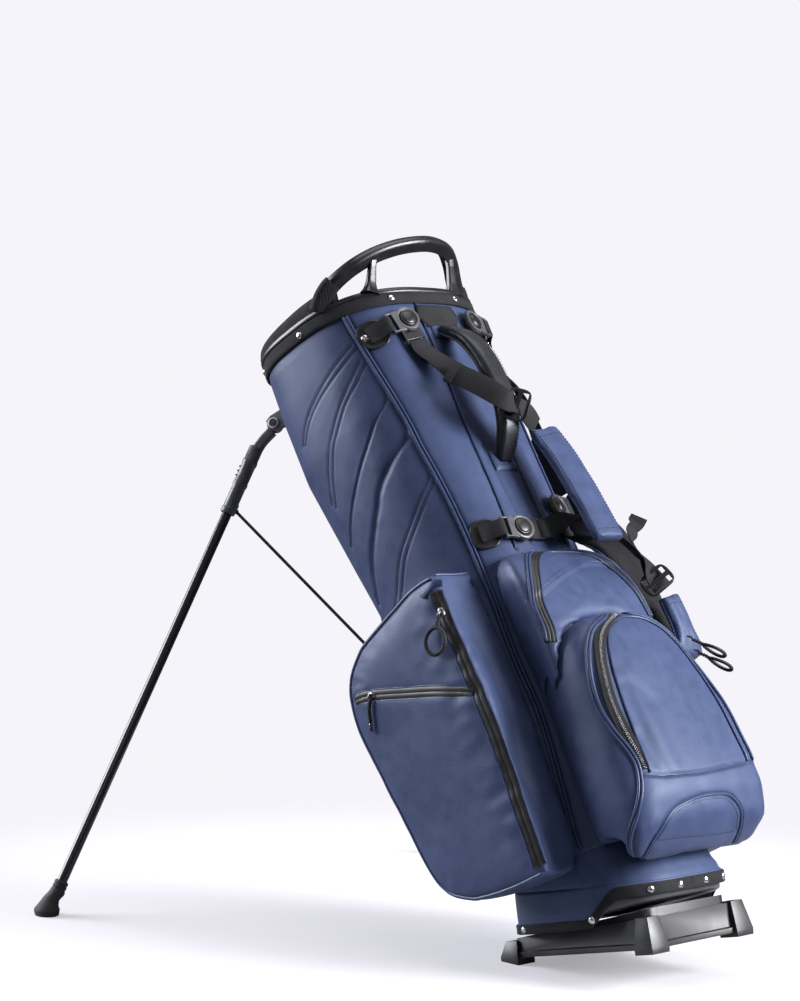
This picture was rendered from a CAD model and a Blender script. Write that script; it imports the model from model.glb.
"""A golf stand bag that leans back towards -x on two splayed legs, mouth up, with its pockets
and shoulder straps facing +x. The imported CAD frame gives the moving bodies, and its pieces are
replaced here by detailed ones.

Lengths are millimetres in one of two frames, turned into scene metres when a mesh is built:
  bag frame   u from the leg side (-) to the pocket side (+), v from the near side (-) to the
              far side (+), w up the bag's axis
  base frame  x, y, z, with z square to the base plate
Points and normals are (n, 3) arrays. A part is (vertices, faces[, material index[, UVs]]).
"""
import math

import bmesh
import bpy
import numpy as np
from mathutils import Matrix, Vector, noise
from mathutils.bvhtree import BVHTree
from mathutils.kdtree import KDTree

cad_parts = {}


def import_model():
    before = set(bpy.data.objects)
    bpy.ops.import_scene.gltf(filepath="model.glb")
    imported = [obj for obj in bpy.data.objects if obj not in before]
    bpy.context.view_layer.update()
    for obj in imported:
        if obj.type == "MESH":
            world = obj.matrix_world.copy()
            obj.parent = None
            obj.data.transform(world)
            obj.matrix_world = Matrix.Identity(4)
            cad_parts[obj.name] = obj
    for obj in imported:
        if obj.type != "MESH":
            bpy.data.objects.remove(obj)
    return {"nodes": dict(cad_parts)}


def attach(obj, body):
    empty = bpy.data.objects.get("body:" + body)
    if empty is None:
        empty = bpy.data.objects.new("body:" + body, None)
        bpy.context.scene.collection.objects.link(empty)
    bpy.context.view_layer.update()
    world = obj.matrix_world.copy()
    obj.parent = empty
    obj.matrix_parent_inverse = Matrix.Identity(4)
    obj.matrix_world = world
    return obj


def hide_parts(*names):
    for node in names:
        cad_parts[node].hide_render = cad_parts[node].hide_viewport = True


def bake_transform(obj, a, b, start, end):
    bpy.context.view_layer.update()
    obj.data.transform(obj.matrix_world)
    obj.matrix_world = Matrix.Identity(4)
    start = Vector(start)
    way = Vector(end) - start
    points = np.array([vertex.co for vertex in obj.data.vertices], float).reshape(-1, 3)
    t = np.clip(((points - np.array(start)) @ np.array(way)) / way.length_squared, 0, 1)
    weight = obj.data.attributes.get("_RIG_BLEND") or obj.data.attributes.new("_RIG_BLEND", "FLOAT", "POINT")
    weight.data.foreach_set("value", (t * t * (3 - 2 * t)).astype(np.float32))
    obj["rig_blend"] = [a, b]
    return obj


for start_object in [bpy.data.objects.get(n) for n in ("Cube", "Light", "Camera")]:
    if start_object:
        bpy.data.objects.remove(start_object)
CAD_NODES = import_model()["nodes"]
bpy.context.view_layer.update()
scene = bpy.context.scene

# ------------------------------------------------------------------ frames
LEAN = math.radians(34.05)  # the bag's axis from the vertical
TILT = math.radians(12.29)  # the base from the floor
SHIFT = 170.0  # the base frame's origin along the scene's x
BAG_X, BAG_Z = 72.2, 91.5  # the bag frame's origin, before the shift
COS_LEAN, SIN_LEAN = math.cos(LEAN), math.sin(LEAN)
COS_TILT, SIN_TILT = math.cos(TILT), math.sin(TILT)


def bag_to_scene(p):
    p = np.asarray(p, float)
    u, v, w = p[..., 0], p[..., 1], p[..., 2]
    x = BAG_X + SHIFT + u * COS_LEAN - w * SIN_LEAN
    return np.stack([x, v, BAG_Z + u * SIN_LEAN + w * COS_LEAN], -1) / 1000


def bag_direction(d):
    """Scene directions, turned into the bag frame."""
    x, y, z = d[..., 0], d[..., 1], d[..., 2]
    return np.stack([x * COS_LEAN + z * SIN_LEAN, y, -x * SIN_LEAN + z * COS_LEAN], -1)


def scene_to_bag(p):
    p = np.array(p, float) * 1000
    p[..., 0] = p[..., 0] - BAG_X - SHIFT
    p[..., 2] = p[..., 2] - BAG_Z
    return bag_direction(p)


def base_to_scene(p):
    p = np.asarray(p, float)
    x, y, z = p[..., 0], p[..., 1], p[..., 2]
    return np.stack([SHIFT + x * COS_TILT - z * SIN_TILT, y, x * SIN_TILT + z * COS_TILT], -1) / 1000


# ------------------------------------------------------------------ the bag's section
# A superellipse whose half sizes change with w; the leg and the spine side differ in depth.
STATIONS = [-60, 0, 40, 100, 200, 400, 600, 680, 763, 790]  # w
LEG_R = [84, 84, 92, 104, 113, 111, 131, 126, 115, 115]  # depth where u < 0
SPINE_R = [110, 110, 113, 117, 117, 121, 116, 117, 118, 118]  # depth where u > 0
HALF_W = [99, 99, 101, 105, 108, 113, 127, 129, 130, 130]  # half width along v
POWER = 2.6
RIM_SLOPE = 0.1  # how far the rim falls per millimetre of u


def at(table, w):
    return np.interp(w, STATIONS, table)


def depth_at(u, w):
    return np.where(np.asarray(u) < 0, at(LEG_R, w), at(SPINE_R, w))


def wall(angle, w, off=0.0):
    c, s, power = np.cos(angle), np.sin(angle), 2 / POWER
    depth, half = depth_at(c, w) + off, at(HALF_W, w) + off
    return depth * np.sign(c) * np.abs(c) ** power, half * np.sign(s) * np.abs(s) ** power


def flat_run(x, y):
    return np.concatenate([[0], np.cumsum(np.hypot(np.diff(x), np.diff(y)))])


def even_angles(count, w=450):
    """Angles that space points evenly round the section."""
    angles = np.linspace(0, 2 * np.pi, 7201)
    run = flat_run(*wall(angles, w))
    return np.interp(np.linspace(0, run[-1], count, endpoint=False), run, angles)


def spine_u(v, w, off=0.0):
    depth, half = at(SPINE_R, w) + off, at(HALF_W, w) + off
    return depth * np.maximum(1 - np.abs(np.asarray(v) / half) ** POWER, 0) ** (1 / POWER)


def on_spine(v, w, off=0.0):
    return np.stack([spine_u(v, w, off), v, w], -1)


def wall_normal(u, v, w):
    depth, half = depth_at(u, w), at(HALF_W, w)
    nu = np.sign(u) * np.abs(np.asarray(u) / depth) ** (POWER - 1) / depth
    nv = np.sign(v) * np.abs(np.asarray(v) / half) ** (POWER - 1) / half
    n = np.stack([nu, nv, 0 * nu], -1)
    return n / np.linalg.norm(n, axis=-1, keepdims=True) if False else n / np.linalg.norm(
        n, axis=-1, keepdims=True)


def onto_wall(p, off=0.0):
    """Points moved along their own direction from the axis onto the wall."""
    p = np.asarray(p, float)
    out = []
    for u, v, w in p.reshape(-1, 3):
        depth, half = depth_at(u, w) + off, at(HALF_W, w) + off
        k = (abs(u / depth) ** POWER + abs(v / half) ** POWER) ** (-1 / POWER)
        out.append((u * k, v * k, w))
    return np.array(out).reshape(p.shape)


# ------------------------------------------------------------------ curves and fields
def unit(a):
    a = np.asarray(a, float)
    return a / np.maximum(np.linalg.norm(a, axis=-1, keepdims=True), 1e-12)


def clamp(x):
    return np.clip(x, 0, 1)


def bell(distance, width):
    return np.exp(-((distance / width) ** 2))


def run_of(p):
    """Length along a path at each of its points."""
    return np.concatenate([[0], np.cumsum(np.linalg.norm(np.diff(p, axis=0), axis=1))])


def sample(s, run, values):
    return np.stack([np.interp(s, run, values[:, i]) for i in range(values.shape[1])], -1)


def resample(p, step=2.0, count=None):
    run = run_of(p)
    count = count or max(2, int(round(run[-1] / step)) + 1)
    return sample(np.linspace(0, run[-1], count), run, p)


def spline(points, step=2.0, count=None):
    """Centripetal Catmull-Rom through the points, resampled evenly."""
    p = np.asarray(points, float)
    p = np.vstack([2 * p[0] - p[1], p, 2 * p[-1] - p[-2]])
    out = []
    for i in range(1, len(p) - 2):
        p0, p1, p2, p3 = p[i - 1], p[i], p[i + 1], p[i + 2]
        t1 = max(np.linalg.norm(p1 - p0), 1e-6) ** 0.5
        t2 = t1 + max(np.linalg.norm(p2 - p1), 1e-6) ** 0.5
        t3 = t2 + max(np.linalg.norm(p3 - p2), 1e-6) ** 0.5
        t = np.linspace(t1, t2, 24, endpoint=False)[:, None]
        a1 = (t1 - t) / t1 * p0 + t / t1 * p1
        a2 = (t2 - t) / (t2 - t1) * p1 + (t - t1) / (t2 - t1) * p2
        a3 = (t3 - t) / (t3 - t2) * p2 + (t - t2) / (t3 - t2) * p3
        b1 = (t2 - t) / t2 * a1 + t / t2 * a2
        b2 = (t3 - t) / (t3 - t1) * a2 + (t - t1) / (t3 - t1) * a3
        out.append((t2 - t) / (t2 - t1) * b1 + (t - t1) / (t2 - t1) * b2)
    out.append(p[-2][None])
    return resample(np.vstack(out), step, count)


def tangents(p, closed=False):
    if closed:
        return unit(np.roll(p, -1, 0) - np.roll(p, 1, 0))
    return unit(np.gradient(p, axis=0))


def smooth_path(p, times=3):
    p = np.array(p, float)
    for _ in range(times):
        p[1:-1] = (p[:-2] + 2 * p[1:-1] + p[2:]) / 4
    return p


def offset_path(path, normals, across):
    return path + np.cross(tangents(path), normals) * across


def spread(directions, count):
    """Unit directions blended evenly over a number of points."""
    steps = np.linspace(0, 1, len(directions))
    return unit(sample(np.linspace(0, 1, count), steps, np.asarray(directions, float)))


def flip(p):
    """The same points on the other side of the bag."""
    p = np.array(p, float)
    p[..., 1] *= -1
    return p


def noise_at(p, scale, shift=0.0):
    q = (p * scale + shift).reshape(-1, 3)
    return np.array([noise.noise(Vector(x)) for x in q]).reshape(p.shape[:-1])


def vnoise(p, su, sv, sw, seed=0.0):
    return noise_at(p, (su, sv, sw), (seed, 0, -seed))


def tree_of(points):
    tree = KDTree(len(points))
    for i, p in enumerate(points):
        tree.insert(Vector(p), i)
    tree.balance()
    return tree


def line_dist(p, lines, step=2.0):
    tree = tree_of(np.vstack([resample(np.asarray(line, float), step) for line in lines]))
    return np.array([tree.find(Vector(q))[2] for q in p])


def curve_dist(p, *curves):
    return line_dist(p, [spline(c, 3) for c in curves])


# ------------------------------------------------------------------ meshes
def merged(parts):
    """Vertices, faces, the faces' material indices and UVs of all parts together."""
    vertices, faces, indices, uvs, count = [], [], [], [], 0
    for part in parts:
        v, f = np.asarray(part[0], float), part[1]
        vertices.append(v)
        faces += [tuple(int(i) + count for i in q) for q in f]
        indices += [part[2] if len(part) > 2 else 0] * len(f)
        uvs.append(part[3] if len(part) > 3 else v[:, :2] + v[:, 2:] * 0.5)
        count += len(v)
    return np.vstack(vertices), faces, indices, np.vstack(uvs)


def build(name, parts, mats, body, cad=None, to_scene=bag_to_scene, smooth=True,
          merge=0.0, auto=None, edge=0.0):
    """An object from parts. auto: sharp edge angle in degrees. edge: bevel width."""
    vertices, faces, indices, uvs = merged(parts)
    mesh = bpy.data.meshes.new(name)
    mesh.from_pydata(to_scene(vertices).tolist(), [], faces)
    for m in mats:
        mesh.materials.append(m)
    mesh.polygons.foreach_set("material_index", indices)
    loops = np.zeros(len(mesh.loops), np.int32)
    mesh.loops.foreach_get("vertex_index", loops)
    mesh.uv_layers.new(name="length").data.foreach_set("uv", (uvs / 1000)[loops].ravel())
    bm = bmesh.new()
    bm.from_mesh(mesh)
    if merge:
        bmesh.ops.remove_doubles(bm, verts=bm.verts, dist=merge)
    bmesh.ops.recalc_face_normals(bm, faces=bm.faces)
    bm.to_mesh(mesh)
    bm.free()
    mesh.update()
    mesh.polygons.foreach_set("use_smooth", [smooth] * len(mesh.polygons))
    if auto:
        mesh.set_sharp_from_angle(angle=math.radians(auto))
    ob = bpy.data.objects.new(name, mesh)
    scene.collection.objects.link(ob)
    if edge:
        bevel(ob, edge, segments=2, angle=40)
    finish_piece(ob, body, cad)
    return ob


def finish_piece(ob, body, cad=None):
    if body:
        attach(ob, body)
    if cad:
        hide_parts(cad)


def bevel(ob, width, segments, angle):
    m = ob.modifiers.new("Bevel", "BEVEL")
    m.width, m.segments = width / 1000, segments
    m.limit_method, m.angle_limit = "ANGLE", math.radians(angle)
    apply_modifiers(ob)


def apply_modifiers(ob):
    graph = bpy.context.evaluated_depsgraph_get()
    graph.update()
    mesh = bpy.data.meshes.new_from_object(ob.evaluated_get(graph), depsgraph=graph)
    old = ob.data
    ob.modifiers.clear()
    ob.data = mesh
    if old.users == 0:
        bpy.data.meshes.remove(old)


def grid_faces(m, n, wrap_m=False, wrap_n=False, start=0):
    faces = []
    for i in range(m if wrap_m else m - 1):
        for j in range(n if wrap_n else n - 1):
            a, b = i * n + j, i * n + (j + 1) % n
            c, d = ((i + 1) % m) * n + (j + 1) % n, ((i + 1) % m) * n + j
            faces.append((a + start, b + start, c + start, d + start))
    return faces


def length_uv(along, around):
    return np.stack(np.meshgrid(run_of(along), run_of(around), indexing="ij"), -1).reshape(-1, 2)


def rings(R, closed=False, caps=True):
    """Rings (m, n, 3), each closed, joined to a tube; open ends are capped."""
    m, n = R.shape[:2]
    faces = grid_faces(m, n, wrap_m=closed, wrap_n=True)
    if caps and not closed:
        faces.append(tuple(range(n - 1, -1, -1)))
        faces.append(tuple((m - 1) * n + j for j in range(n)))
    return R.reshape(-1, 3), faces, 0, length_uv(R.mean(1), R[m // 2])


def hoop(loops):
    """Closed loops of equal count, joined in turn, with the last joined to the first."""
    R = np.stack(loops, 1)
    n, k = R.shape[:2]
    return R.reshape(-1, 3), grid_faces(n, k, True, True), 0, length_uv(R[:, 0], R[0])


def with_material(part, index):
    return (part[0], part[1], index) + tuple(part[3:])


def frames(path, normals=None, closed=False):
    """Tangents, normals and binormals; without normals, one is carried along the path."""
    t = tangents(path, closed)
    if normals is None:
        N = [unit(np.cross(t[0], [0.3, 0.5, 0.81]))]
        for i in range(1, len(path)):
            N.append(unit(N[-1] - t[i] * np.dot(N[-1], t[i])))
        N = np.array(N)
        if closed:
            # spread the twist left at the closing
            last = unit(N[-1] - t[0] * np.dot(N[-1], t[0]))
            twist = math.atan2(np.dot(np.cross(last, N[0]), t[0]), np.dot(last, N[0]))
            for i in range(len(N)):
                a = twist * i / len(N)
                N[i] = N[i] * math.cos(a) + np.cross(t[i], N[i]) * math.sin(a)
    else:
        N = np.broadcast_to(np.asarray(normals, float), path.shape)
        N = unit(N - t * np.sum(N * t, 1, keepdims=True))
    return t, N, np.cross(t, N)


def skin_rings(path, N, B, profile, scale):
    across = B[:, None] * profile[None, :, :1] + N[:, None] * profile[None, :, 1:]
    return path[:, None] + across * scale[:, None, None]


def sweep(path, profile, normals=None, closed=False, scale=None, round_ends=0.0):
    """profile: (k, 2) as (across, along the normal)."""
    path = np.asarray(path, float)
    _, N, B = frames(path, normals, closed)
    k = np.ones(len(path)) if scale is None else np.asarray(scale, float)
    if round_ends and not closed:
        run = run_of(path)
        e = np.minimum(run, run[-1] - run) / round_ends
        k = k * np.sqrt(np.clip(1 - (1 - np.clip(e, 0.02, 1)) ** 2, 0.02, 1))
    return rings(skin_rings(path, N, B, profile, k), closed)


def circle(radius, n=10):
    a = np.arange(n) / n * 2 * np.pi
    return np.stack([radius * np.cos(a), radius * np.sin(a)], 1)


def round_rect(w, h, r, n=4):
    corners = ((w / 2 - r, h / 2 - r, 0), (-w / 2 + r, h / 2 - r, 90),
               (-w / 2 + r, -h / 2 + r, 180), (w / 2 - r, -h / 2 + r, 270))
    out = []
    for cx, cy, start in corners:
        for i in range(n + 1):
            a = math.radians(start + 90 * i / n)
            out.append((cx + r * math.cos(a), cy + r * math.sin(a)))
    return np.array(out)


def oval(half_x, half_y, power_x, power_y, n):
    def coord(half, value, power):
        return half * np.sign(value) * abs(value) ** power

    return np.array([(coord(half_x, math.cos(t), power_x), coord(half_y, math.sin(t), power_y))
                     for t in np.arange(n) / n * 2 * np.pi])


def tube(path, radius, n=10):
    return sweep(path, circle(radius, n), round_ends=radius)


def prism(outline, height, holes=()):
    """A flat plate with holes, as a closed mesh along +z from 0 to its height."""
    bm = bmesh.new()
    edges = []
    for loop in [outline] + list(holes):
        vs = [bm.verts.new((float(x), float(y), 0)) for x, y in loop]
        edges += [bm.edges.new((vs[i], vs[(i + 1) % len(vs)])) for i in range(len(vs))]
    bmesh.ops.triangle_fill(bm, use_beauty=True, use_dissolve=False, edges=edges)
    grown = bmesh.ops.extrude_face_region(bm, geom=bm.faces[:])["geom"]
    raised = [v for v in grown if isinstance(v, bmesh.types.BMVert)]
    bmesh.ops.translate(bm, verts=raised, vec=(0, 0, height))
    bmesh.ops.recalc_face_normals(bm, faces=bm.faces)
    bm.verts.index_update()
    v = np.array([x.co[:] for x in bm.verts])
    f = [tuple(q.index for q in p.verts) for p in bm.faces]
    bm.free()
    return v, f


def placed(v, origin, x, y, z):
    v = np.asarray(v, float)
    return (np.asarray(origin) + v[..., :1] * np.asarray(x) + v[..., 1:2] * np.asarray(y)
            + v[..., 2:3] * np.asarray(z))


CUBE = np.array([(x, y, z) for x in (-1, 1) for y in (-1, 1) for z in (-1, 1)], float)
CUBE_FACES = [(0, 1, 3, 2), (4, 6, 7, 5), (0, 4, 5, 1), (2, 3, 7, 6), (0, 2, 6, 4), (1, 5, 7, 3)]


def block(origin, *half_sizes):
    return placed(CUBE, origin, *half_sizes), CUBE_FACES


def lathe(profile, n, place):
    """profile: (r, z); returns a turned solid along the placed z."""
    a = np.arange(n) / n * 2 * np.pi
    p = np.asarray(profile, float)
    R = np.stack([p[:, :1] * np.cos(a), p[:, :1] * np.sin(a), np.repeat(p[:, 1:], n, 1)], -1)
    v, f, index, uv = rings(R)
    return placed(v, *place), f, index, uv


def turned_ring(profile, n, place):
    """A closed (r, z) profile turned round the placed z."""
    a = np.arange(n) / n * 2 * np.pi
    R = np.array([[(r * math.cos(t), r * math.sin(t), z) for r, z in profile] for t in a])
    return placed(R.reshape(-1, 3), *place), grid_faces(n, len(profile), True, True)


def along(start, direction, stations):
    """Turned shape: stations (distance, radius) along a direction."""
    x = unit(np.cross(direction, [0.13, 0.2, 0.9]))
    place = (start, x, np.cross(direction, x), direction)
    return lathe([(max(r, 0.02), t) for t, r in stations], 28, place)


def mirror(parts):
    return [(flip(p[0]), [tuple(reversed(q)) for q in p[1]]) + tuple(p[2:]) for p in parts]


EACH_SIDE = (("near", list), ("far", mirror))


def bvh_of(*objs):
    V, F, k = [], [], 0
    for o in objs:
        V += [v.co[:] for v in o.data.vertices]
        F += [tuple(i + k for i in p.vertices) for p in o.data.polygons]
        k = len(V)
    return BVHTree.FromPolygons(V, F)


def nearest_on(bvh, p, off=0.0):
    """Bag points moved onto a mesh and lifted by off, and the normals there."""
    points, normals = [], []
    for x in bag_to_scene(p):
        hit, n, _, _ = bvh.find_nearest(Vector(x))
        points.append((hit + n * (off / 1000))[:])
        normals.append(n[:])
    return scene_to_bag(np.array(points)), bag_direction(np.array(normals))


def surf(bvh, points, off, step=2.0, times=3):
    """A smooth path over a mesh, with its normals."""
    p, n = nearest_on(bvh, spline(points, step), off)
    return smooth_path(p, times), unit(smooth_path(n, 4))


def stitches(path, normals, radius=0.34, length=3.0, gap=1.3):
    """A row of short raised threads along a path that lies on a surface."""
    run = run_of(path)
    threads = []
    profile = circle(1, 6)
    for start in np.arange(gap, run[-1] - length, length + gap):
        s = start + length * np.array([0, 0.18, 0.5, 0.82, 1])
        p, n = sample(s, run, path), unit(sample(s, run, normals))
        b = unit(np.cross(unit(np.gradient(p, axis=0)), n))
        p = p + n * (np.array([-0.5, 0.3, 0.7, 0.3, -0.5]) * radius + 0.1)[:, None]
        scale = np.array([0.35, 0.9, 1, 0.9, 0.35]) * radius
        threads.append(rings(skin_rings(p, n, b, profile, scale)))
    v, f, _, uv = merged(threads)
    return v, f, 0, uv


def seam_row(bvh, path, normals, across, radius=0.34, lift=0.12):
    """Stitches on a mesh beside a path."""
    q, m = nearest_on(bvh, offset_path(path, normals, across), lift)
    return stitches(smooth_path(q), m, radius)


def dome(origin, normal, r=4.2):
    """A rivet head on a surface."""
    height = 2.4
    n = unit(normal)
    x = unit(np.cross(n, [0.21, 0.37, 0.9]))
    cap = [(r * math.sin(a), height * math.cos(a) ** 0.9) for a in np.linspace(0.25, 1.5, 7)]
    profile = [(0.02, height)] + cap + [(r * 1.06, -0.1), (r * 0.9, -0.8), (0.02, -0.8)]
    return lathe(profile, 20, (origin, x, np.cross(n, x), n))


# ------------------------------------------------------------------ materials
class Shader:
    """A node tree and short ways to add to it. Inputs are values or sockets to link."""

    def __init__(self, owner):
        owner.use_nodes = True
        self.tree = owner.node_tree
        self.tree.nodes.clear()

    def fill(self, node, inputs):
        for key, value in inputs.items():
            if isinstance(value, bpy.types.NodeSocket):
                self.tree.links.new(value, node.inputs[key])
            else:
                node.inputs[key].default_value = value

    def node(self, kind, inputs=None, **settings):
        node = self.tree.nodes.new("ShaderNode" + kind)
        for key, value in settings.items():
            setattr(node, key, value)
        self.fill(node, inputs or {})
        return node

    def coords(self, output="Object"):
        return self.node("TexCoord").outputs[output]

    def noise(self, vector, scale, detail=3, roughness=0.55):
        return self.node("TexNoise", {"Scale": scale, "Detail": detail, "Roughness": roughness,
                                      "Vector": vector}).outputs["Fac"]

    def ramp(self, value, source, target):
        """Maps the source range to the target range."""
        return self.node("MapRange", {"From Min": source[0], "From Max": source[1],
                                      "To Min": target[0], "To Max": target[1],
                                      "Value": value}).outputs["Result"]

    def mix(self, factor, *colours):
        a, b = [(*c, 1) if isinstance(c, tuple) else c for c in colours]
        return self.node("Mix", {0: factor, 6: a, 7: b}, data_type="RGBA").outputs[2]

    def math(self, operation, *values):
        return self.node("Math", dict(enumerate(values)), operation=operation).outputs[0]


class Surface(Shader):
    """A material with a Principled shader."""

    def __init__(self, name):
        self.material = bpy.data.materials.new(name)
        super().__init__(self.material)
        self.output = self.node("OutputMaterial")
        self.bsdf = self.node("BsdfPrincipled")
        self.fill(self.output, {0: self.bsdf.outputs[0]})

    def principled(self, **inputs):
        self.fill(self.bsdf, {k.replace("_", " "): v for k, v in inputs.items()})

    def bump(self, height, distance, strength):
        node = self.node("Bump", {"Distance": distance, "Strength": strength, "Height": height})
        self.principled(Normal=node.outputs[0])


def scaled(colour, gain, lift=0.0):
    return tuple(min(1, c * gain + lift) for c in colour)


def leather(name, dark, lit, rough, coat, wear):
    """Pebbled leather: paler where edges stand out, darker in the creases."""
    s = Surface(name)
    v = s.coords()
    big, mid, fine = s.noise(v, 9), s.noise(v, 60, detail=4), s.noise(v, 420, 4, 0.6)
    pebbles = s.node("TexVoronoi", feature="SMOOTH_F1")
    s.fill(pebbles, {"Scale": 760.0, "Smoothness": 0.6, "Randomness": 0.95})
    warp_noise = s.node("TexNoise", {"Scale": 240, "Vector": v})
    small = s.node("VectorMath", operation="SCALE")
    s.fill(small, {3: 0.0016, 0: warp_noise.outputs["Color"]})
    warp = s.node("VectorMath", {0: v, 1: (1, 1, 1), 2: small.outputs[0]}, operation="MULTIPLY_ADD")
    s.fill(pebbles, {"Vector": warp.outputs[0]})
    grain = pebbles.outputs["Distance"]
    base = s.mix(s.ramp(big, (0.3, 0.72), (0, 1)), dark, lit)
    speck = s.mix(s.ramp(mid, (0.35, 0.7), (0.0, 0.45)), base, scaled(lit, 1.22))
    pointiness = s.node("NewGeometry").outputs["Pointiness"]
    worn = s.mix(s.ramp(pointiness, (0.505, 0.56), (0.0, wear)), speck, scaled(lit, 1.6, 0.012))
    crease = s.ramp(pointiness, (0.44, 0.497), (0.45, 0.0))
    uneven = s.ramp(mid, (0.3, 0.7), (rough - 0.05, rough + 0.06))
    s.principled(
        Base_Color=s.mix(crease, worn, scaled(dark, 0.35)),
        Roughness=s.math("ADD", uneven, s.ramp(grain, (0.0, 0.6), (0.05, -0.05))),
        Coat_Weight=coat, Coat_Roughness=0.38, Sheen_Weight=0.02, Sheen_Roughness=0.5,
        Specular_Tint=(0.66, 0.77, 1.0, 1), Specular_IOR_Level=0.30)
    height = s.math("ADD", s.math("MULTIPLY", grain, -0.8), s.math("MULTIPLY", fine, 0.5))
    s.bump(height, distance=0.00018, strength=0.8)
    return s.material


def plastic(name, colour, rough=0.38, grain=900.0, depth=0.00006, coat=0.0, wear=0.25):
    """Moulded plastic or rubber, a little paler at its edges."""
    s = Surface(name)
    v = s.coords()
    cloud, fine = s.noise(v, 45, detail=4), s.noise(v, grain, detail=2, roughness=0.7)
    base = s.mix(s.ramp(cloud, (0.35, 0.75), (0, 0.35)), colour, scaled(colour, 1.9, 0.01))
    pointiness = s.node("NewGeometry").outputs["Pointiness"]
    edge = s.ramp(pointiness, (0.51, 0.6), (0.0, wear))
    s.principled(Base_Color=s.mix(edge, base, scaled(colour, 2.6, 0.03)),
                 Roughness=s.ramp(cloud, (0.3, 0.7), (rough - 0.06, rough + 0.07)),
                 Coat_Weight=coat, Coat_Roughness=0.12)
    s.bump(fine, distance=depth, strength=0.6)
    return s.material


def webbing(name, colour, pitch=1.5, depth=0.00022, rough=0.78):
    """Ribbed weave from the strip's own lengths (UV, in metres); pitch in millimetres."""
    s = Surface(name)
    axes = s.node("SeparateXYZ", {0: s.coords("UV")}).outputs
    k = 2 * math.pi * 1000 / pitch
    lengthwise = s.math("SINE", s.math("MULTIPLY", axes[0], k))
    across = s.math("SINE", s.math("MULTIPLY", axes[1], k * 0.62))
    weave = s.math("MULTIPLY", lengthwise, across)
    v = s.coords()
    fuzz, big = s.noise(v, 900, roughness=0.7), s.noise(v, 35)
    height = s.math("ADD", s.math("MULTIPLY", weave, 0.5), s.math("MULTIPLY", fuzz, 0.6))
    lit = scaled(colour, 2.1, 0.01)
    woven = s.mix(s.ramp(weave, (-1, 1), (0.0, 0.85)), colour, lit)
    s.principled(
        Base_Color=s.mix(s.ramp(big, (0.35, 0.7), (0, 0.3)), woven, scaled(lit, 1.5, 0.006)),
        Roughness=s.ramp(fuzz, (0.3, 0.7), (rough - 0.08, rough + 0.1)),
        Sheen_Weight=0.05, Sheen_Roughness=0.4, Specular_IOR_Level=0.22)
    s.bump(height, distance=depth, strength=0.9)
    return s.material


def cloth(name, colour, scale):
    """Plain weave in the object's own coordinates."""
    rough = 0.85
    s = Surface(name)
    v = s.coords()
    waves = [s.node("TexWave", {"Scale": scale / 6.28, "Distortion": 0.6, "Detail": 1, "Vector": v},
                    wave_type="BANDS", bands_direction=axis, wave_profile="SIN").outputs["Fac"]
             for axis in "XYZ"]
    weave = s.math("MULTIPLY", s.math("ADD", waves[0], waves[1]), s.math("ADD", waves[2], 0.3))
    fuzz, big = s.noise(v, 800, roughness=0.7), s.noise(v, 28)
    lit = scaled(colour, 2.0, 0.008)
    woven = s.mix(s.ramp(weave, (0.2, 1.8), (0, 0.8)), colour, lit)
    s.principled(Base_Color=s.mix(s.ramp(big, (0.35, 0.7), (0, 0.35)), woven, lit),
                 Roughness=s.ramp(fuzz, (0.3, 0.7), (rough - 0.08, rough + 0.08)),
                 Sheen_Weight=0.05, Sheen_Roughness=0.45, Specular_IOR_Level=0.2)
    s.bump(s.math("ADD", weave, s.math("MULTIPLY", fuzz, 0.7)), distance=0.0002, strength=0.8)
    return s.material


def metal(name, colour, rough=0.18):
    s = Surface(name)
    v = s.coords()
    cloud, fine = s.noise(v, 300, detail=4), s.noise(v, 1500, detail=2)
    s.principled(
        Base_Color=s.mix(s.ramp(cloud, (0.35, 0.7), (0, 1)), scaled(colour, 0.8), colour),
        Metallic=1.0, Roughness=s.ramp(cloud, (0.3, 0.7), (rough - 0.06, rough + 0.12)))
    s.bump(fine, distance=0.00002, strength=0.5)
    return s.material


LEATHER = leather("slate_leather", dark=(0.027, 0.040, 0.094), lit=(0.046, 0.063, 0.140),
                  rough=0.48, coat=0.03, wear=0.12)
PIPING = leather("piping_leather", dark=(0.020, 0.031, 0.078), lit=(0.032, 0.047, 0.110),
                 rough=0.34, coat=0.2, wear=0.12)
LINING = cloth("inner_lining", (0.006, 0.007, 0.010), scale=600)
BLACKFAB = cloth("black_fabric", (0.005, 0.005, 0.007), scale=900)
BINDING = webbing("black_binding", (0.0045, 0.0048, 0.0065), pitch=1.1, depth=0.00012)
BLACKLEA = leather("black_leather", dark=(0.008, 0.0085, 0.011), lit=(0.014, 0.015, 0.019),
                   rough=0.30, coat=0.5, wear=0.2)
PLASTIC = plastic("black_plastic", (0.006, 0.0063, 0.008), rough=0.30, grain=700, depth=0.00002,
                  wear=0.12)
SOFTPLASTIC = plastic("base_plastic", (0.008, 0.0088, 0.0115), rough=0.40, grain=650,
                      depth=0.00004, wear=0.12)
GREY = plastic("grey_plastic", (0.052, 0.053, 0.062), rough=0.34, grain=400, depth=0.000008,
               wear=0.1)
TUBE = plastic("gloss_black_tube", (0.005, 0.005, 0.006), rough=0.24, grain=60, depth=0.0000005,
               coat=0.3, wear=0.0)
RUBBER = plastic("black_rubber", (0.010, 0.010, 0.012), rough=0.68, grain=500, depth=0.00015)
WEB = webbing("strap_webbing", (0.0048, 0.005, 0.0068))
TEETH = metal("zip_teeth", (0.30, 0.30, 0.32), rough=0.3)
STEEL = metal("nickel", (0.72, 0.71, 0.72))
DARKMETAL = metal("dark_zip_metal", (0.20, 0.20, 0.22), rough=0.28)
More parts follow.
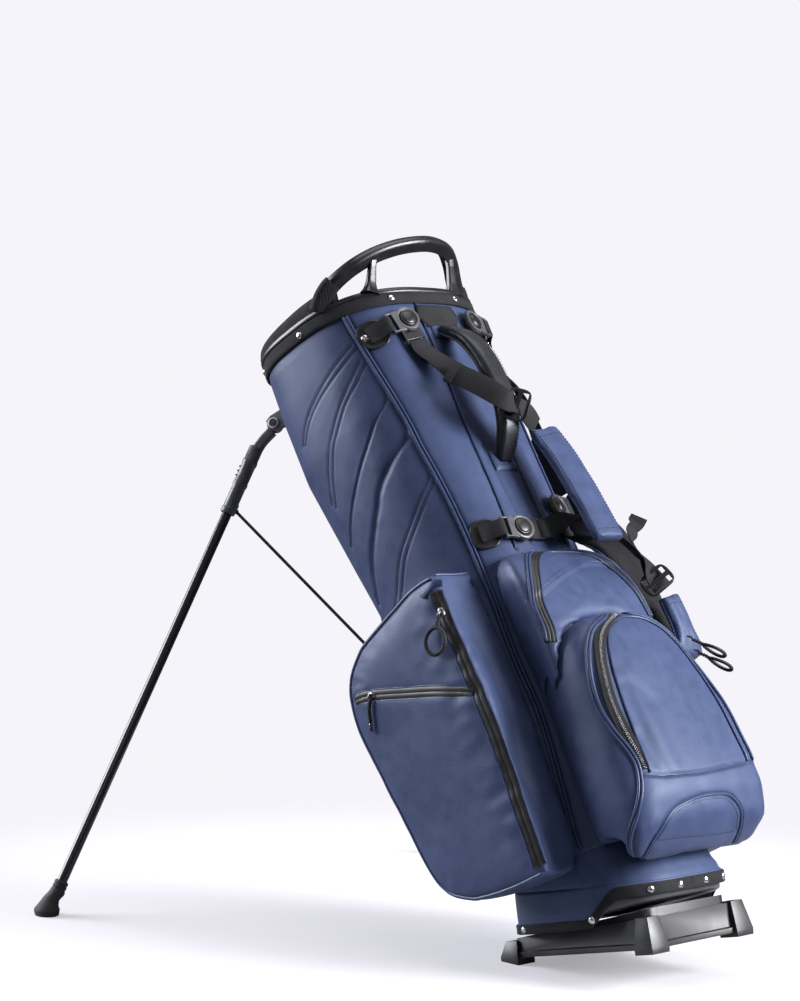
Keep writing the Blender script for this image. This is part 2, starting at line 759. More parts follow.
ZIPTAPE = webbing("zip_tape", (0.004, 0.004, 0.0055), pitch=0.9, depth=0.0001)
COATED = plastic("coated_zip", (0.008, 0.0075, 0.009), rough=0.44, grain=500, depth=0.00004,
                 wear=0.1)
THREAD = webbing("thread", (0.010, 0.014, 0.035), pitch=0.6, depth=0.00005, rough=0.6)
BLACKTHREAD = webbing("black_thread", (0.012, 0.012, 0.015), pitch=0.6, depth=0.00005, rough=0.6)
CORD = webbing("pull_cord", (0.010, 0.0105, 0.014), pitch=1.2, depth=0.0002, rough=0.6)
PALE = plastic("pale_washer", (0.55, 0.55, 0.57), rough=0.4)

# ------------------------------------------------------------------ bag body
# Quilting seams on the near side, (u, v, w), in sewing order.
QUILT = {
    "pair1_upper": [
        (71.5, -113.8, 690.5), (52.5, -122.2, 682.2), (29.3, -127.3, 673.8), (0.2, -128.6, 664.2),
        (-26.3, -127.4, 652.9), (-42.3, -125, 644.1), (-62, -120, 630)],
    "pair1_lower": [
        (74.5, -111.6, 683.4), (56.5, -120.8, 674.9), (34.2, -126.3, 667), (7.4, -128.2, 659.6),
        (-15.2, -127.8, 651.8), (-36, -126, 641), (-56, -121, 627)],
    "pair2_upper": [
        (72.6, -112.3, 667.1), (51.8, -121.7, 649.6), (26.8, -126.7, 632.8), (2.6, -127.3, 615.4),
        (-14, -126.9, 602.3), (-36, -124, 578), (-60, -117, 545)],
    "pair2_lower": [
        (77, -109, 661.3), (59.2, -119.1, 644.7), (33.1, -125.5, 628.7), (9.7, -126.9, 610.9),
        (-6, -127, 599.3), (-28, -125, 574), (-54, -118, 538)],
    "pair3_upper": [(89, -93, 501), (49, -113, 461), (8, -115, 433), (-26, -111, 398),
                    (-50, -104, 380)],
    "pair3_lower": [(90, -91, 493), (53, -111, 455), (14, -115, 427), (-20, -112, 392),
                    (-44, -105, 374)],
    "wide": [(88, -97, 557), (55, -112, 536), (21, -121.5, 511), (15, -121, 503.5),
             (-8, -119, 482), (-32, -116, 459), (-67, -101, 413)],
    "single": [(84.4, -101.8, 611), (71.7, -111.4, 599.2), (59, -117.4, 588.7),
               (42, -121.9, 572.4), (20, -124, 556), (0, -124.5, 541.5), (-30, -121, 518),
               (-62, -112, 488)],
}
# Piping down the near edge of the pocket side, and the seams of the spine and the leg side.
PIPE = [
    (77.1, -110.5, 729), (78.4, -109.1, 705.8), (80.5, -107.1, 680.6), (83.3, -104.1, 648),
    (86.5, -99.7, 608.4), (88.9, -95.6, 567.3), (89.5, -94.1, 536), (91, -91.5, 505),
    (92.3, -88.4, 460.5), (92.4, -86.7, 409.5), (91.5, -86.3, 372.9), (90, -86.3, 321.9),
    (87.5, -87.2, 287), (85.6, -87.4, 240.9), (84.9, -86.4, 191.1), (79, -88.9, 133.9),
    (71.6, -93.6, 76.3), (65.1, -95.4, 40), (64, -95.5, 24)]
SPINE_NEAR = [
    (116.5, -27, 731), (116.5, -28.2, 714.1), (115.8, -27, 660), (115.2, -28.5, 608.7),
    (115.2, -32.7, 563.7), (116.2, -35.4, 504.9), (116.8, -37, 460.8), (117.2, -39.9, 420),
    (117, -44, 378)]
SPINE_FAR = [(118, 22, 520), (118.4, 20.3, 475.4), (119.2, 19.2, 444.7), (119.8, 18, 385)]
LEG_SEAM = [(-88, -92, 745), (-98, -92, 640), (-92, -84, 400), (-90, -80, 200), (-80, -76, 60)]
AROUND, ROWS, INNER_ROWS = 420, 330, 60  # the shell's grid
SHELL_ANGLES = even_angles(AROUND)


def bottom_w(u):
    return 41.5 - 0.135 * (u + 88)


def top_w(u):
    return 740 - RIM_SLOPE * u


def shell_grid(off, rows):
    t = np.linspace(0, 1, rows)[:, None]
    start = bottom_w(0.0) + (top_w(0.0) - bottom_w(0.0)) * t
    w = np.broadcast_to(start, (rows, AROUND)).copy()
    for _ in range(4):
        u, v = wall(SHELL_ANGLES[None], w, off)
        w = bottom_w(u) + (top_w(u) - bottom_w(u)) * t
    u, v = wall(SHELL_ANGLES[None], w, off)
    return np.stack([u, v, w], -1)


def smooth_line(points, step=2.0):
    return onto_wall(spline(points, step))


def both(lines):
    return list(lines) + [flip(line) for line in lines]


QUILT_LINES = {key: smooth_line(points) for key, points in QUILT.items()}


def grid_dist(grid, lines):
    return line_dist(grid.reshape(-1, 3), both(lines), 1.5).reshape(grid.shape[:-1])


def shell_relief(grid):
    """Height of the skin: sewn grooves, padding between them, creases and ripples."""
    pairs = [line for key, line in QUILT_LINES.items() if key.startswith("pair")]
    single_seams = [smooth_line(line) for line in (SPINE_NEAR, SPINE_FAR, LEG_SEAM)]
    # lines, depth, width
    grooves = ((pairs, 1.0, 1.7), ([QUILT_LINES["wide"]], 2.6, 4.2),
               ([QUILT_LINES["single"]], 1.5, 1.9), ([smooth_line(PIPE)], 3.2, 4.0),
               (single_seams, 1.7, 1.8))
    dists = [grid_dist(grid, lines) for lines, _, _ in grooves]
    cut = sum(-depth * bell(d, width) for d, (_, depth, width) in zip(dists, grooves))
    side = clamp((np.abs(grid[..., 1]) - 55) / 35)
    upper = clamp((grid[..., 2] - 390) / 40)
    padding = 0.6 * (1 - bell(np.minimum.reduce(dists), 16)) * (0.25 + 0.75 * side * upper)
    crease = noise_at(grid, (0.010, 0.010, 0.004), (0, 0, 3.1))
    fine = noise_at(grid, (0.035, 0.035, 0.020))
    wrinkle = noise_at(grid[..., [0, 2, 1]], (0.07, 0.05, 0.05))
    ripple = sum(-k * bell(grid_dist(grid, [QUILT_LINES[key]]), 26.0) * wrinkle
                 for key, k in (("wide", 1.0), ("single", 0.55), ("pair2_lower", 0.4)))
    relief = (cut + padding + 0.8 * crease * (0.4 + upper) + 0.15 * fine + 0.45 * ripple * side)
    from_rim = np.minimum(np.arange(ROWS), np.arange(ROWS)[::-1])[:, None] / 8.0
    return relief * clamp(from_rim)


outer = shell_grid(0, ROWS)
outer = outer + wall_normal(*np.moveaxis(outer, -1, 0)) * (shell_relief(outer) - 0.6)[..., None]
inner = shell_grid(-4.2, INNER_ROWS)[::-1]
shell_parts = [(outer.reshape(-1, 3), grid_faces(ROWS, AROUND, wrap_n=True), 0),
               (inner.reshape(-1, 3), grid_faces(INNER_ROWS, AROUND, wrap_n=True), 1)]
# the two rims between the skins
for edges in ((outer[-1], inner[0]), (inner[-1], outer[0])):
    shell_parts.append((np.vstack(edges), grid_faces(2, AROUND, wrap_n=True), 1))
SHELL = build("body_skin", shell_parts, [LEATHER, LINING], "bag", "body_shell",
              merge=1e-5)
SHELL_BVH = bvh_of(SHELL)

threads = []
for key, quilt_line in QUILT_LINES.items():
    for side in (1, -1):
        line = quilt_line if side > 0 else flip(quilt_line)
        p, n = nearest_on(SHELL_BVH, resample(line, 1.6), 0.15)
        if key == "wide":
            threads += [seam_row(SHELL_BVH, p, n, across, lift=0.15) for across in (-4.6, 4.6)]
        elif key == "single":
            threads.append(seam_row(SHELL_BVH, p, n, 3.4 * side, lift=0.15))
        else:
            threads.append(stitches(smooth_path(p), n, radius=0.45, length=2.8, gap=1.1))
for seam in (SPINE_NEAR, SPINE_FAR):
    p, n = nearest_on(SHELL_BVH, smooth_line(seam), 0.1)
    threads.append(seam_row(SHELL_BVH, p, n, 3.0, radius=0.32))
build("body_stitches", threads, [THREAD], "bag")

# twin piping cords down both edges of the pocket side, and the raised seam beads
cords = []
for side in (1, -1):
    line = smooth_line(PIPE, 3) if side > 0 else flip(smooth_line(PIPE, 3))
    n = wall_normal(line[:, 0], line[:, 1], line[:, 2])
    for across, radius in ((-2.1, 1.55), (2.2, 1.9)):
        beside = onto_wall(offset_path(line, n, across * side), 0.9)
        cords.append(tube(smooth_path(beside, 4), radius, 12))
for seam in (SPINE_NEAR, SPINE_FAR):
    cords.append(tube(onto_wall(smooth_line(seam, 3), 0.3), 1.35, 8))
build("body_piping", cords, [PIPING], "bag")


# ------------------------------------------------------------------ padded pieces
def points_of(ob):
    return np.array([v.co[:] for v in ob.data.vertices])


def swell(ob, pressure, cap, hold, frame_count):
    """Cloth pressure with held vertices; no vertex moves further than cap."""
    start = points_of(ob)
    group = ob.vertex_groups.new(name="hold")
    for i, h in enumerate(hold):
        if h > 0.02:
            group.add([i], float(h), "REPLACE")
    cloth_mod = ob.modifiers.new("Cloth", "CLOTH")
    s = cloth_mod.settings
    s.quality, s.mass = 4, 0.25
    s.tension_stiffness = s.compression_stiffness = 12
    s.shear_stiffness, s.bending_stiffness = 6, 0.4
    s.use_pressure, s.uniform_pressure_force = True, pressure
    s.vertex_group_mass = "hold"
    s.effector_weights.gravity = 0
    cloth_mod.collision_settings.use_collision = False
    cloth_mod.collision_settings.use_self_collision = False
    cache = cloth_mod.point_cache
    cache.frame_start, cache.frame_end = 1, frame_count
    for f in range(1, frame_count + 1):
        scene.frame_set(f)
    apply_modifiers(ob)
    scene.frame_set(1)
    end = points_of(ob)
    # a simulation that blew up leaves the piece as it was
    if len(end) == len(start) and np.isfinite(end).all():
        d = end - start
        length = np.linalg.norm(d, axis=1, keepdims=True)
        lim = cap / 1000
        kept = lim * np.tanh(length / lim) / np.maximum(length, 1e-9)
        end = start + d * np.where(length > 1e-9, kept, 0)
    else:
        end = start
    ob.data.vertices.foreach_set("co", end.ravel())
    ob.vertex_groups.clear()


def soft_from_cad(node, name, pin, voxel, pressure, cap, relax, frame_count):
    """A CAD solid's copy, remeshed, softened and swollen with its seams held by pin."""
    mesh = CAD_NODES[node].data.copy()
    ob = bpy.data.objects.new(name, mesh)
    scene.collection.objects.link(ob)
    bm = bmesh.new()
    bm.from_mesh(mesh)
    bmesh.ops.remove_doubles(bm, verts=bm.verts, dist=2e-5)
    bm.to_mesh(mesh)
    bm.free()
    mesh.materials.clear()
    m = ob.modifiers.new("Remesh", "REMESH")
    m.mode, m.voxel_size, m.use_smooth_shade = "VOXEL", voxel / 1000, True
    apply_modifiers(ob)
    bm = bmesh.new()
    bm.from_mesh(ob.data)
    for _ in range(relax):
        bmesh.ops.smooth_vert(bm, verts=bm.verts, factor=0.5, use_axis_x=True, use_axis_y=True,
                              use_axis_z=True)
    bm.to_mesh(ob.data)
    bm.free()
    hold = clamp(pin(scene_to_bag(points_of(ob))))
    swell(ob, pressure, cap, hold, frame_count)
    m = ob.modifiers.new("Subdivision", "SUBSURF")
    m.levels = m.render_levels = 1
    apply_modifiers(ob)
    ob.data.polygons.foreach_set("use_smooth", [True] * len(ob.data.polygons))
    return ob


def displace(ob, height):
    """Moves every vertex along its normal by height(bag point, bag normal)."""
    normals = bag_direction(np.array([v.normal[:] for v in ob.data.vertices]))
    p = scene_to_bag(points_of(ob))
    moved = p + normals * height(p, normals)[:, None]
    ob.data.vertices.foreach_set("co", bag_to_scene(moved).ravel())
    ob.data.update()


# ------------------------------------------------------------------ side pockets
# (u, w) lines on the pocket's outer face
SIDE_OUTLINE = [
    (84, 366), (40, 373), (-18, 366), (-68, 358), (-98, 341), (-115, 320), (-121, 294),
    (-123, 266), (-117, 217), (-111, 154), (-107, 93), (-101, 66), (-87, 44), (-57, 25),
    (-24, 16), (13, 9), (58, 4)]
LONG_ZIP = [(82, 350), (78, 322), (77.5, 297), (77.5, 223), (76, 167), (67, 80), (60, 14)]
CROSS_ZIP = [(-104, 307), (-80, 300), (-20, 272), (30, 247), (74, 222)]
FLATTEN = [1, 0, 1]  # drops v


def on_side(uw, v):
    uw = np.asarray(uw, float)
    return np.stack([uw[:, 0], np.full(len(uw), v), uw[:, 1]], 1)


def pin_side(p):
    far_out = np.abs(p[:, 1])
    spine_edge = [(84, 0, 366), (82, 0, 167), (66, 0, 40), (60, 0, 4)]
    rim = line_dist(p * FLATTEN, [spline(on_side(SIDE_OUTLINE, 0.0), 3), spine_edge])
    return np.where(far_out < 118, 1.0, 0) + bell(rim, 7) * (far_out > 150)


def side_shape(p, n):
    u, v, w = p[:, 0], np.abs(p[:, 1]), p[:, 2]
    face = clamp(np.abs(n[:, 1]) * 1.6 - 0.7) * (v > 140)
    long_zip = line_dist(p * FLATTEN, [on_side(LONG_ZIP, 0)])
    cross_zip = line_dist(p * FLATTEN, [on_side(CROSS_ZIP, 0)])
    d = 1.98 * vnoise(p, 0.011, 0.02, 0.011, 1.7) + 0.5 * vnoise(p, 0.035, 0.03, 0.028, 4.2)
    # pulls fan out from the long zip and the cross zip
    pull = vnoise(p, 0.028, 0.0, 0.060, 8.0)
    d = d + face * (2.6 * pull * bell(long_zip, 42) * (np.abs(w - 200) < 190))
    d = d + face * (1.3 * vnoise(p, 0.05, 0, 0.02, 2.0) * bell(cross_zip, 30))
    d = d - face * (2.4 * bell(long_zip, 5.5) + 2.0 * bell(cross_zip, 6.0))
    # long folds on the gusset towards the spine, and on the leg side
    gusset = clamp(n[:, 0] * 1.5 - 0.3) * (u > 40)
    wander = 1.6 * vnoise(p, 0.01, 0.0, 0.008, 5.0)
    fold = np.sin((v - 95) / 60 * math.pi * 2.2 + wander + w * 0.004)
    d = d + gusset * (3.2 * fold * np.clip((365 - w) / 90, 0.15, 1) - 1.2)
    back = clamp(-n[:, 0] * 1.4 - 0.3)
    wander = vnoise(p, 0.02, 0.0, 0.012, 9.0) * 2
    d = d + back * 1.6 * np.sin((v - 110) / 50 * math.pi * 1.5 + wander)
    return d * 0.9


SIDE = soft_from_cad("side_pocket_near", "side_pocket_skin_near", pin_side, voxel=6.0,
                     pressure=2.6, cap=5.0, relax=5, frame_count=14)
displace(SIDE, side_shape)
SIDE.data.materials.append(LEATHER)
finish_piece(SIDE, "bag", "side_pocket_near")

far_mesh = SIDE.data.copy()
far_mesh.vertices.foreach_set("co", flip(points_of(SIDE)).ravel())
far_mesh.flip_normals()
far_side = bpy.data.objects.new("side_pocket_skin_far", far_mesh)
scene.collection.objects.link(far_side)
finish_piece(far_side, "bag", "side_pocket_far")
SIDE_BVH = bvh_of(SIDE)


# Zip parts use the material slots 0 tape, 1 teeth, 2 coated.
def toothed_zip(path, n, width):
    tape = sweep(path + n * 0.2, round_rect(width, 1.5, 0.6, 2), n)
    run, t = run_of(path), tangents(path)
    teeth = []
    for j, s in enumerate(np.arange(1.5, run[-1] - 1, 1.35)):
        tangent, normal = unit(sample(s, run, t)), unit(sample(s, run, n))
        across = np.cross(tangent, normal)
        side = 0.9 if j % 2 else -0.9
        centre = sample(s, run, path) + normal * 1.55 + side * across
        v, f = block(centre, tangent * 0.4125, across * 1.3, normal * 0.65)
        teeth.append((v, f, 1, v[:, :2]))
    v, f, _, uv = merged(teeth)
    return [tape, (v, f, 1, uv)]


def coated_zip(path, n, width):
    """Two coated lips that meet in a narrow groove."""
    h = width / 2
    profile = np.array([(-h, -0.6), (h, -0.6), (h, 0.5), (h - 0.8, 0.9), (1.0, 1.15),
                        (0.35, 0.85), (0.0, 0.1), (-0.35, 0.85), (-1.0, 1.15),
                        (-h + 0.8, 0.9), (-h, 0.5)])
    return [with_material(sweep(path, profile, n), 2)]


# Pull parts use the material slots 0 metal, 1 cord.
def pull_nose(origin, down, n):
    """The slider's nose, with the axes and the origin of what hangs from it."""
    down, n = unit(down), unit(n)
    down = unit(down - n * np.dot(down, n))
    o = np.asarray(origin, float) + n * 2.4
    bow = [o + n * 0.5 - down * 2, o + n * (2.0 if False else 1.8) + down * 3, o + down * 7]
    return bow, o, down, n, np.cross(down, n)


def ring_pull(origin, down, n, size, cord, stem):
    """A cord stem and a cord ring hanging along down."""
    bow, o, down, n, s = pull_nose(origin, down, n)
    out = [tube(spline(bow, 1.0), 1.5, 8)]
    a = o + down * 5
    path = spline([a, a + down * stem * 0.5 + s * 0.8 + n * 0.6, a + down * stem], 0.7)
    twist = 1 + 0.28 * np.sin(np.arange(len(path)) * 1.5)
    out.append(with_material(sweep(path, circle(cord * 0.95), scale=twist), 1))
    for off in (-cord * 0.5, cord * 0.5):
        strand = spline([a + s * off, a + down * stem * 0.6 + s * (off + 0.3) + n,
                         a + down * stem + s * off], 1.0)
        out.append(with_material(tube(strand, cord * 0.62, 8), 1))
    centre = a + down * (stem + size * 0.92)
    angle = np.linspace(0, 2 * np.pi, 73)[:-1][:, None]
    loop = (centre + np.cos(angle) * down * size * 1.1 + np.sin(angle) * s * size * 0.92
            + n * (0.5 + 0.5 * np.sin(angle * 2)))
    twist = 1 + 0.12 * np.sin(np.arange(len(loop)) * 2.1)
    out.append(with_material(sweep(loop, circle(cord), closed=True, scale=twist), 1))
    return out


def straight_pull(origin, down, n, length):
    """A twisted cord with a metal end, hanging along down."""
    bow, o, down, n, s = pull_nose(origin, down, n)
    bow[1] = o + n * 2.0 + down * 3
    out = [tube(spline(bow, 1.0), 1.5, 8)]
    p = spline([o + down * 5, o + down * length * 0.45 + s * 1.2 + n * 1.2,
                o + down * length * 0.8 - s * 0.6 + n * 0.6], 0.7)
    twist = 1 + 0.3 * np.abs(np.sin(np.arange(len(p)) * 0.75))
    out.append(with_material(sweep(p, circle(1.9), scale=twist), 1))
    end = spline([p[-1], p[-1] + down * length * 0.28], 0.8)
    out.append(sweep(end, circle(2.3, 12), round_ends=2.2))
    return out


OUTWARD = np.array([0, -1.0, 0])  # out of the near side
zips, cords, threads = [], [], []
long_p, long_n = surf(SIDE_BVH, on_side(LONG_ZIP, -163), 0.3, step=2.5)
long_n = unit(long_n + np.array([0.25, -0.9, 0.0]))
zips += coated_zip(long_p, long_n, 14.0)
for across, radius in ((-8.2, 1.25), (8.2, 1.6)):
    beside = offset_path(long_p, long_n, across)
    cords.append(tube(smooth_path(beside + long_n * 0.1), radius, 8))
cross_p, cross_n = surf(SIDE_BVH, on_side(CROSS_ZIP, -163), 0.4, step=2.5)
cross_n = unit(cross_n + np.array([0, -1.5, 0]))
zips += coated_zip(cross_p, cross_n, 12.0)
for across in (-6.9, 6.9):
    cords.append(tube(smooth_path(offset_path(cross_p, cross_n, across)), 0.9, 8))
# stops: a bar across each zip's end
for path, normals, i in ((cross_p, cross_n, -8), (long_p, long_n, -5)):
    across = np.cross(unit(path[i] - path[i - 1]), normals[i])
    bar = np.array([path[i] + across * k + normals[i] * 1.2 for k in (-5, 5)])
    threads.append(stitches(bar, np.array([normals[i]] * 2), radius=0.4, length=2.0, gap=0.8))
# piping round the pocket's face, a stitch row inside it, and the upper seam to the spine
p, n = surf(SIDE_BVH, on_side(SIDE_OUTLINE, -159.0), 0.2, step=2.5)
n = unit(n * 0.5 + OUTWARD)
cords.append(tube(smooth_path(p + n * 0.6, 4), 2.4, 12))
shrunk = [(-15 + (u + 15) * 0.965, 190 + (w - 190) * 0.972) for u, w in SIDE_OUTLINE[1:-1]]
threads.append(stitches(*surf(SIDE_BVH, on_side(shrunk, -163), 0.1), radius=0.3, gap=1.4))
upper_seam = [(86, -155, 372), (88, -128, 371), (91, -104, 372), (92, -93, 374)]
cords.append(tube(surf(SIDE_BVH, upper_seam, 0.2)[0], 1.9, 10))
# flap fold over the long zip's upper end
fold = spline([(94, -158, 352), (80, -163.5, 356), (60, -164.5, 352)], 1.5)
cords.append(sweep(fold, round_rect(9, 2.2, 1.0, 3), np.array([0.2, -1, 0.1]), round_ends=3))

SLIDER = [(0.01, 3.4), (2.2, 3.2), (3.6, 2.4), (4.2, 0.8), (4.2, -0.5), (0.01, -0.5)]  # r, z
LONG_FACE = np.array([0.25, -1.0, 0.0])
# both pulls hang close to straight down in the scene
long_pull = [lathe(SLIDER, 16, ((78.5, -163.2, 322), (1.0, 0.25, 0), (0, 0, 1.6), LONG_FACE))]
long_pull += ring_pull((78.5, -164.5, 322), (-0.62, 0.0, -0.80), LONG_FACE, size=14.0, cord=2.4,
                       stem=15)
cross_dir = np.array([154, 0, -82.0]) / 174.5
cross_place = ((-72, -163.8, 297.5), cross_dir * 1.7, np.cross(cross_dir, OUTWARD), OUTWARD)
cross_pull = [lathe(SLIDER, 16, cross_place)]
cross_pull += straight_pull((-72, -165, 297.5), (-0.50, 0.0, -0.86), OUTWARD, length=40)
for tag, sided in EACH_SIDE:
    build("side_zips_" + tag, sided(zips), [ZIPTAPE, DARKMETAL, COATED], "bag")
    build("side_piping_" + tag, sided(cords), [PIPING], "bag")
    build("side_stitches_" + tag, sided(threads), [THREAD], "bag")
    for kind, pull in (("long", long_pull), ("cross", cross_pull)):
        build(f"{kind}_pull_{tag}", sided(pull), [DARKMETAL, CORD], f"zip_{kind}_{tag}",
              f"zip_slider_{kind}_{tag}")

# ------------------------------------------------------------------ front pockets
# (u, v, w) lines on the lower, bulging pocket: its near outline, the door's piping, the far
# zip, the seam under the door, and the crescent with its seams at the pocket's foot
BALL_OUT = [
    (168, -10, 258), (179.6, -26, 250), (182.5, -56.1, 235.7), (180.9, -73.9, 215.6),
    (176.1, -89.2, 175.6), (175.5, -94.5, 143.7), (180.3, -93.3, 111.6), (185, -88.8, 87.3),
    (186.1, -87.3, 66.1), (182.2, -92.8, 42.3), (171, -102.1, 19.7), (148.1, -108.3, -2),
    (128, -100, -22)]
BALL_DOOR = [
    (187.7, -77, 54.7), (188.8, -74.7, 97), (189.3, -68, 150), (187.9, -55.3, 201.7),
    (186.5, -42.4, 223.9), (184.5, -20.3, 241.5), (180.6, 6.3, 249), (181.6, 34.3, 243.5),
    (186.5, 57, 223.9), (188, 69, 199), (189.3, 79, 150), (188.8, 83.7, 100), (187, 85, 52)]
BALL_FAR_ZIP = [
    (168, 20, 259), (178, 52, 247), (181.5, 72, 225), (181, 86, 190), (180, 94, 143),
    (180, 97, 100), (179, 97, 54)]
BALL_SEAM = [
    (184, -88, 55), (186.6, -79.7, 53.5), (191.2, -49.6, 48.2), (192.1, 3.6, 46.3),
    (189.5, 66.3, 50), (183, 95, 53), (165, 108, 52)]
MOON = [
    (128, -88, -27), (140, -86, -22), (157.5, -81.7, -10.3), (178.1, -61.5, 8.6),
    (184.4, -25, 18.5), (185.3, 12.4, 20.2), (183.5, 38.5, 17), (176.8, 54.4, 4.3),
    (157.4, 64, -11.7), (138, 66, -24)]
MOON_INNER = [
    (156.5, -77.3, -11.6), (176.2, -60.2, 5), (183, -21.9, 14.9), (183.5, 11.7, 16),
    (182.2, 32.2, 13.6), (176.4, 47.2, 2.6), (154.8, 58.3, -14)]
MOON_SEAM = [(155.9, -77, -12.1), (156.8, -32, -13.2), (154.8, 21.2, -14.6), (153.8, 60.3, -14.6)]
# lines on the upper pocket: the zip down each side from the middle, and the flap's edge
UP_ZIP_NEAR = [
    (128, -10, 372), (136, -30, 366), (143.8, -52, 351), (150.5, -73.3, 321.6),
    (151.7, -86.9, 285.5), (151.2, -89.1, 255.3), (149.2, -93.1, 240)]
UP_ZIP_FAR = [(128, -10, 372), (134, 20, 371), (142, 45, 360), (150, 70, 330), (152, 86, 285),
              (151, 89, 262)]
UP_FLAP = [(151, -76, 303), (153.5, -60.3, 309.9), (152, -19.2, 327.2), (148.1, 31, 341.3),
           (146.1, 64.7, 337.5)]
# hollows on the door: line, depth, width
DOOR_CREASES = (
    ([(190, -62, 182), (193, -44, 160), (194, -30, 138)], 1.3, 11),
    ([(190, -58, 160), (192, -63, 112), (192, -60, 75), (190, -56, 55)], 2.0, 11),
    ([(190, -70, 100), (191, -66, 70), (189, -72, 56)], 0.8, 6))
DOOR_RIDGE = [(190, -45, 170), (193, -47, 120), (192, -44, 60)]


def pin_ball(p):
    d = curve_dist(p, BALL_OUT, BALL_DOOR, BALL_SEAM, BALL_FAR_ZIP, MOON)
    return np.where(p[:, 0] < 112, 1, 0) + 0.9 * bell(d, 6)


def ball_shape(p, n):
    u, v, w = p[:, 0], p[:, 1], p[:, 2]
    front = clamp(n[:, 0] * 1.5 - 0.2)
    d = 1.4 * vnoise(p, 0.012, 0.012, 0.010, 6.0) + 0.5 * vnoise(p, 0.04, 0.035, 0.03, 2.0)
    for line, depth, width in DOOR_CREASES:
        d = d - front * depth * bell(curve_dist(p, line), width)
    d = d + front * 1.0 * bell(curve_dist(p, DOOR_RIDGE), 12)
    for line, depth, width in ((BALL_SEAM, 1.8, 2.6), (MOON, 1.3, 3.0), (MOON_SEAM, 0.8, 1.6)):
        d = d - depth * bell(curve_dist(p, line), width)
    d = d + clamp((40 - w) / 50) * front * 1.4 * vnoise(p, 0.02, 0.05, 0.02, 3.3)
    # the far lower corner bulges
    bulge = clamp((v - 40) / 50) * clamp((250 - w) / 120) * clamp((u - 120) / 40)
    d = d + 9.0 * bulge ** 1.5 * clamp(n[:, 1] + 0.4)
    side = clamp(np.abs(n[:, 1]) * 1.5 - 0.4)
    return d + side * 1.5 * np.sin(u * 0.07 + 2.2 * vnoise(p, 0.01, 0.02, 0.009, 7.0))


BALL = soft_from_cad("ball_pocket", "ball_pocket_skin", pin_ball, voxel=5.0, pressure=3.2,
                     cap=7.0, relax=5, frame_count=14)
displace(BALL, ball_shape)
BALL.data.materials.append(LEATHER)
finish_piece(BALL, "bag", "ball_pocket")
BALL_BVH = bvh_of(BALL)


def pin_up(p):
    d = curve_dist(p, UP_ZIP_NEAR, UP_ZIP_FAR, UP_FLAP)
    return np.where(p[:, 0] < 118, 1, 0) + 0.9 * bell(d, 6) + np.where(p[:, 2] < 236, 1, 0)


def up_shape(p, n):
    d = 1.1 * vnoise(p, 0.013, 0.012, 0.012, 16.0) + 0.4 * vnoise(p, 0.04, 0.035, 0.03, 12.0)
    flap = spline(UP_FLAP, 3)
    from_flap = line_dist(p, [flap])
    order = np.argsort(flap[:, 1])
    flap_w = np.interp(p[:, 1], flap[order, 1], flap[order, 2])
    below = clamp((flap_w - p[:, 2]) / 6) * clamp(n[:, 0] * 1.5 - 0.2)
    d = d - 3.0 * below * clamp(1 - from_flap / 40) - 1.6 * bell(from_flap, 2.0)
    side = clamp(np.abs(n[:, 1]) * 1.5 - 0.4)
    return d + side * 1.2 * np.sin(p[:, 0] * 0.09 + 2.2 * vnoise(p, 0.01, 0.02, 0.009, 27.0))


UP = soft_from_cad("upper_pocket", "upper_pocket_skin", pin_up, voxel=5.0, pressure=3.0,
                   cap=6.0, relax=4, frame_count=12)
displace(UP, up_shape)
UP.data.materials.append(LEATHER)
finish_piece(UP, "bag", "upper_pocket")
UP_BVH = bvh_of(UP)
WALL_BVH = bvh_of(SHELL, UP)

zips, cords, threads = [], [], []
# lower pocket: near zip halfway between the outline and the door, far zip along its own line
halfway = spline(BALL_OUT[:9], count=80) * 0.5 + spline(BALL_DOOR[:7][::-1], count=80) * 0.5
p, n = nearest_on(BALL_BVH, halfway, 0.1)
p, n = smooth_path(p, 6), unit(smooth_path(n, 6))
zips += toothed_zip(resample(p, count=120), unit(resample(n, count=120)), 15.0)
far_p, far_n = nearest_on(BALL_BVH, spline(BALL_FAR_ZIP, count=80), 0.1)
far_p, far_n = smooth_path(far_p, 6), unit(smooth_path(far_n, 6))
zips += toothed_zip(far_p, far_n, 13.0)
p, n = surf(BALL_BVH, BALL_OUT, 0.2)
for across, radius in ((0, 2.2), (3.8, 1.7)):
    cords.append(tube(smooth_path(offset_path(p, n, across) + n * 0.5, 4), radius))
p, n = surf(BALL_BVH, BALL_DOOR, 0.2)
cords.append(tube(smooth_path(p + n * 0.5, 4), 2.0))
for across in (-7.2, 7.0):
    cords.append(tube(smooth_path(offset_path(far_p, far_n, across) + far_n * 0.4, 4), 1.9))
p, n = surf(BALL_BVH, BALL_SEAM, 0.1)
cords.append(tube(p + n * 0.1, 1.1, 8))
threads.append(seam_row(BALL_BVH, p, n, 3.2))
p, n = surf(BALL_BVH, MOON, 0.1)
cords.append(tube(smooth_path(p + n * 0.3), 1.5, 8))
threads += [seam_row(BALL_BVH, p, n, across, radius=0.32) for across in (-3.6, 3.4)]
threads += [stitches(*surf(BALL_BVH, line, 0.12)) for line in (MOON_SEAM, MOON_INNER)]


def meet(points, first, second):
    """The line where two skins cross, found by going from one to the other."""
    p = spline(points, 2.0)
    for _ in range(12):
        p, n1 = nearest_on(first, p)
        p, n2 = nearest_on(second, p)
        p = smooth_path(p, 2)
    return smooth_path(p, 10), unit(smooth_path(unit(n1 + n2), 10))


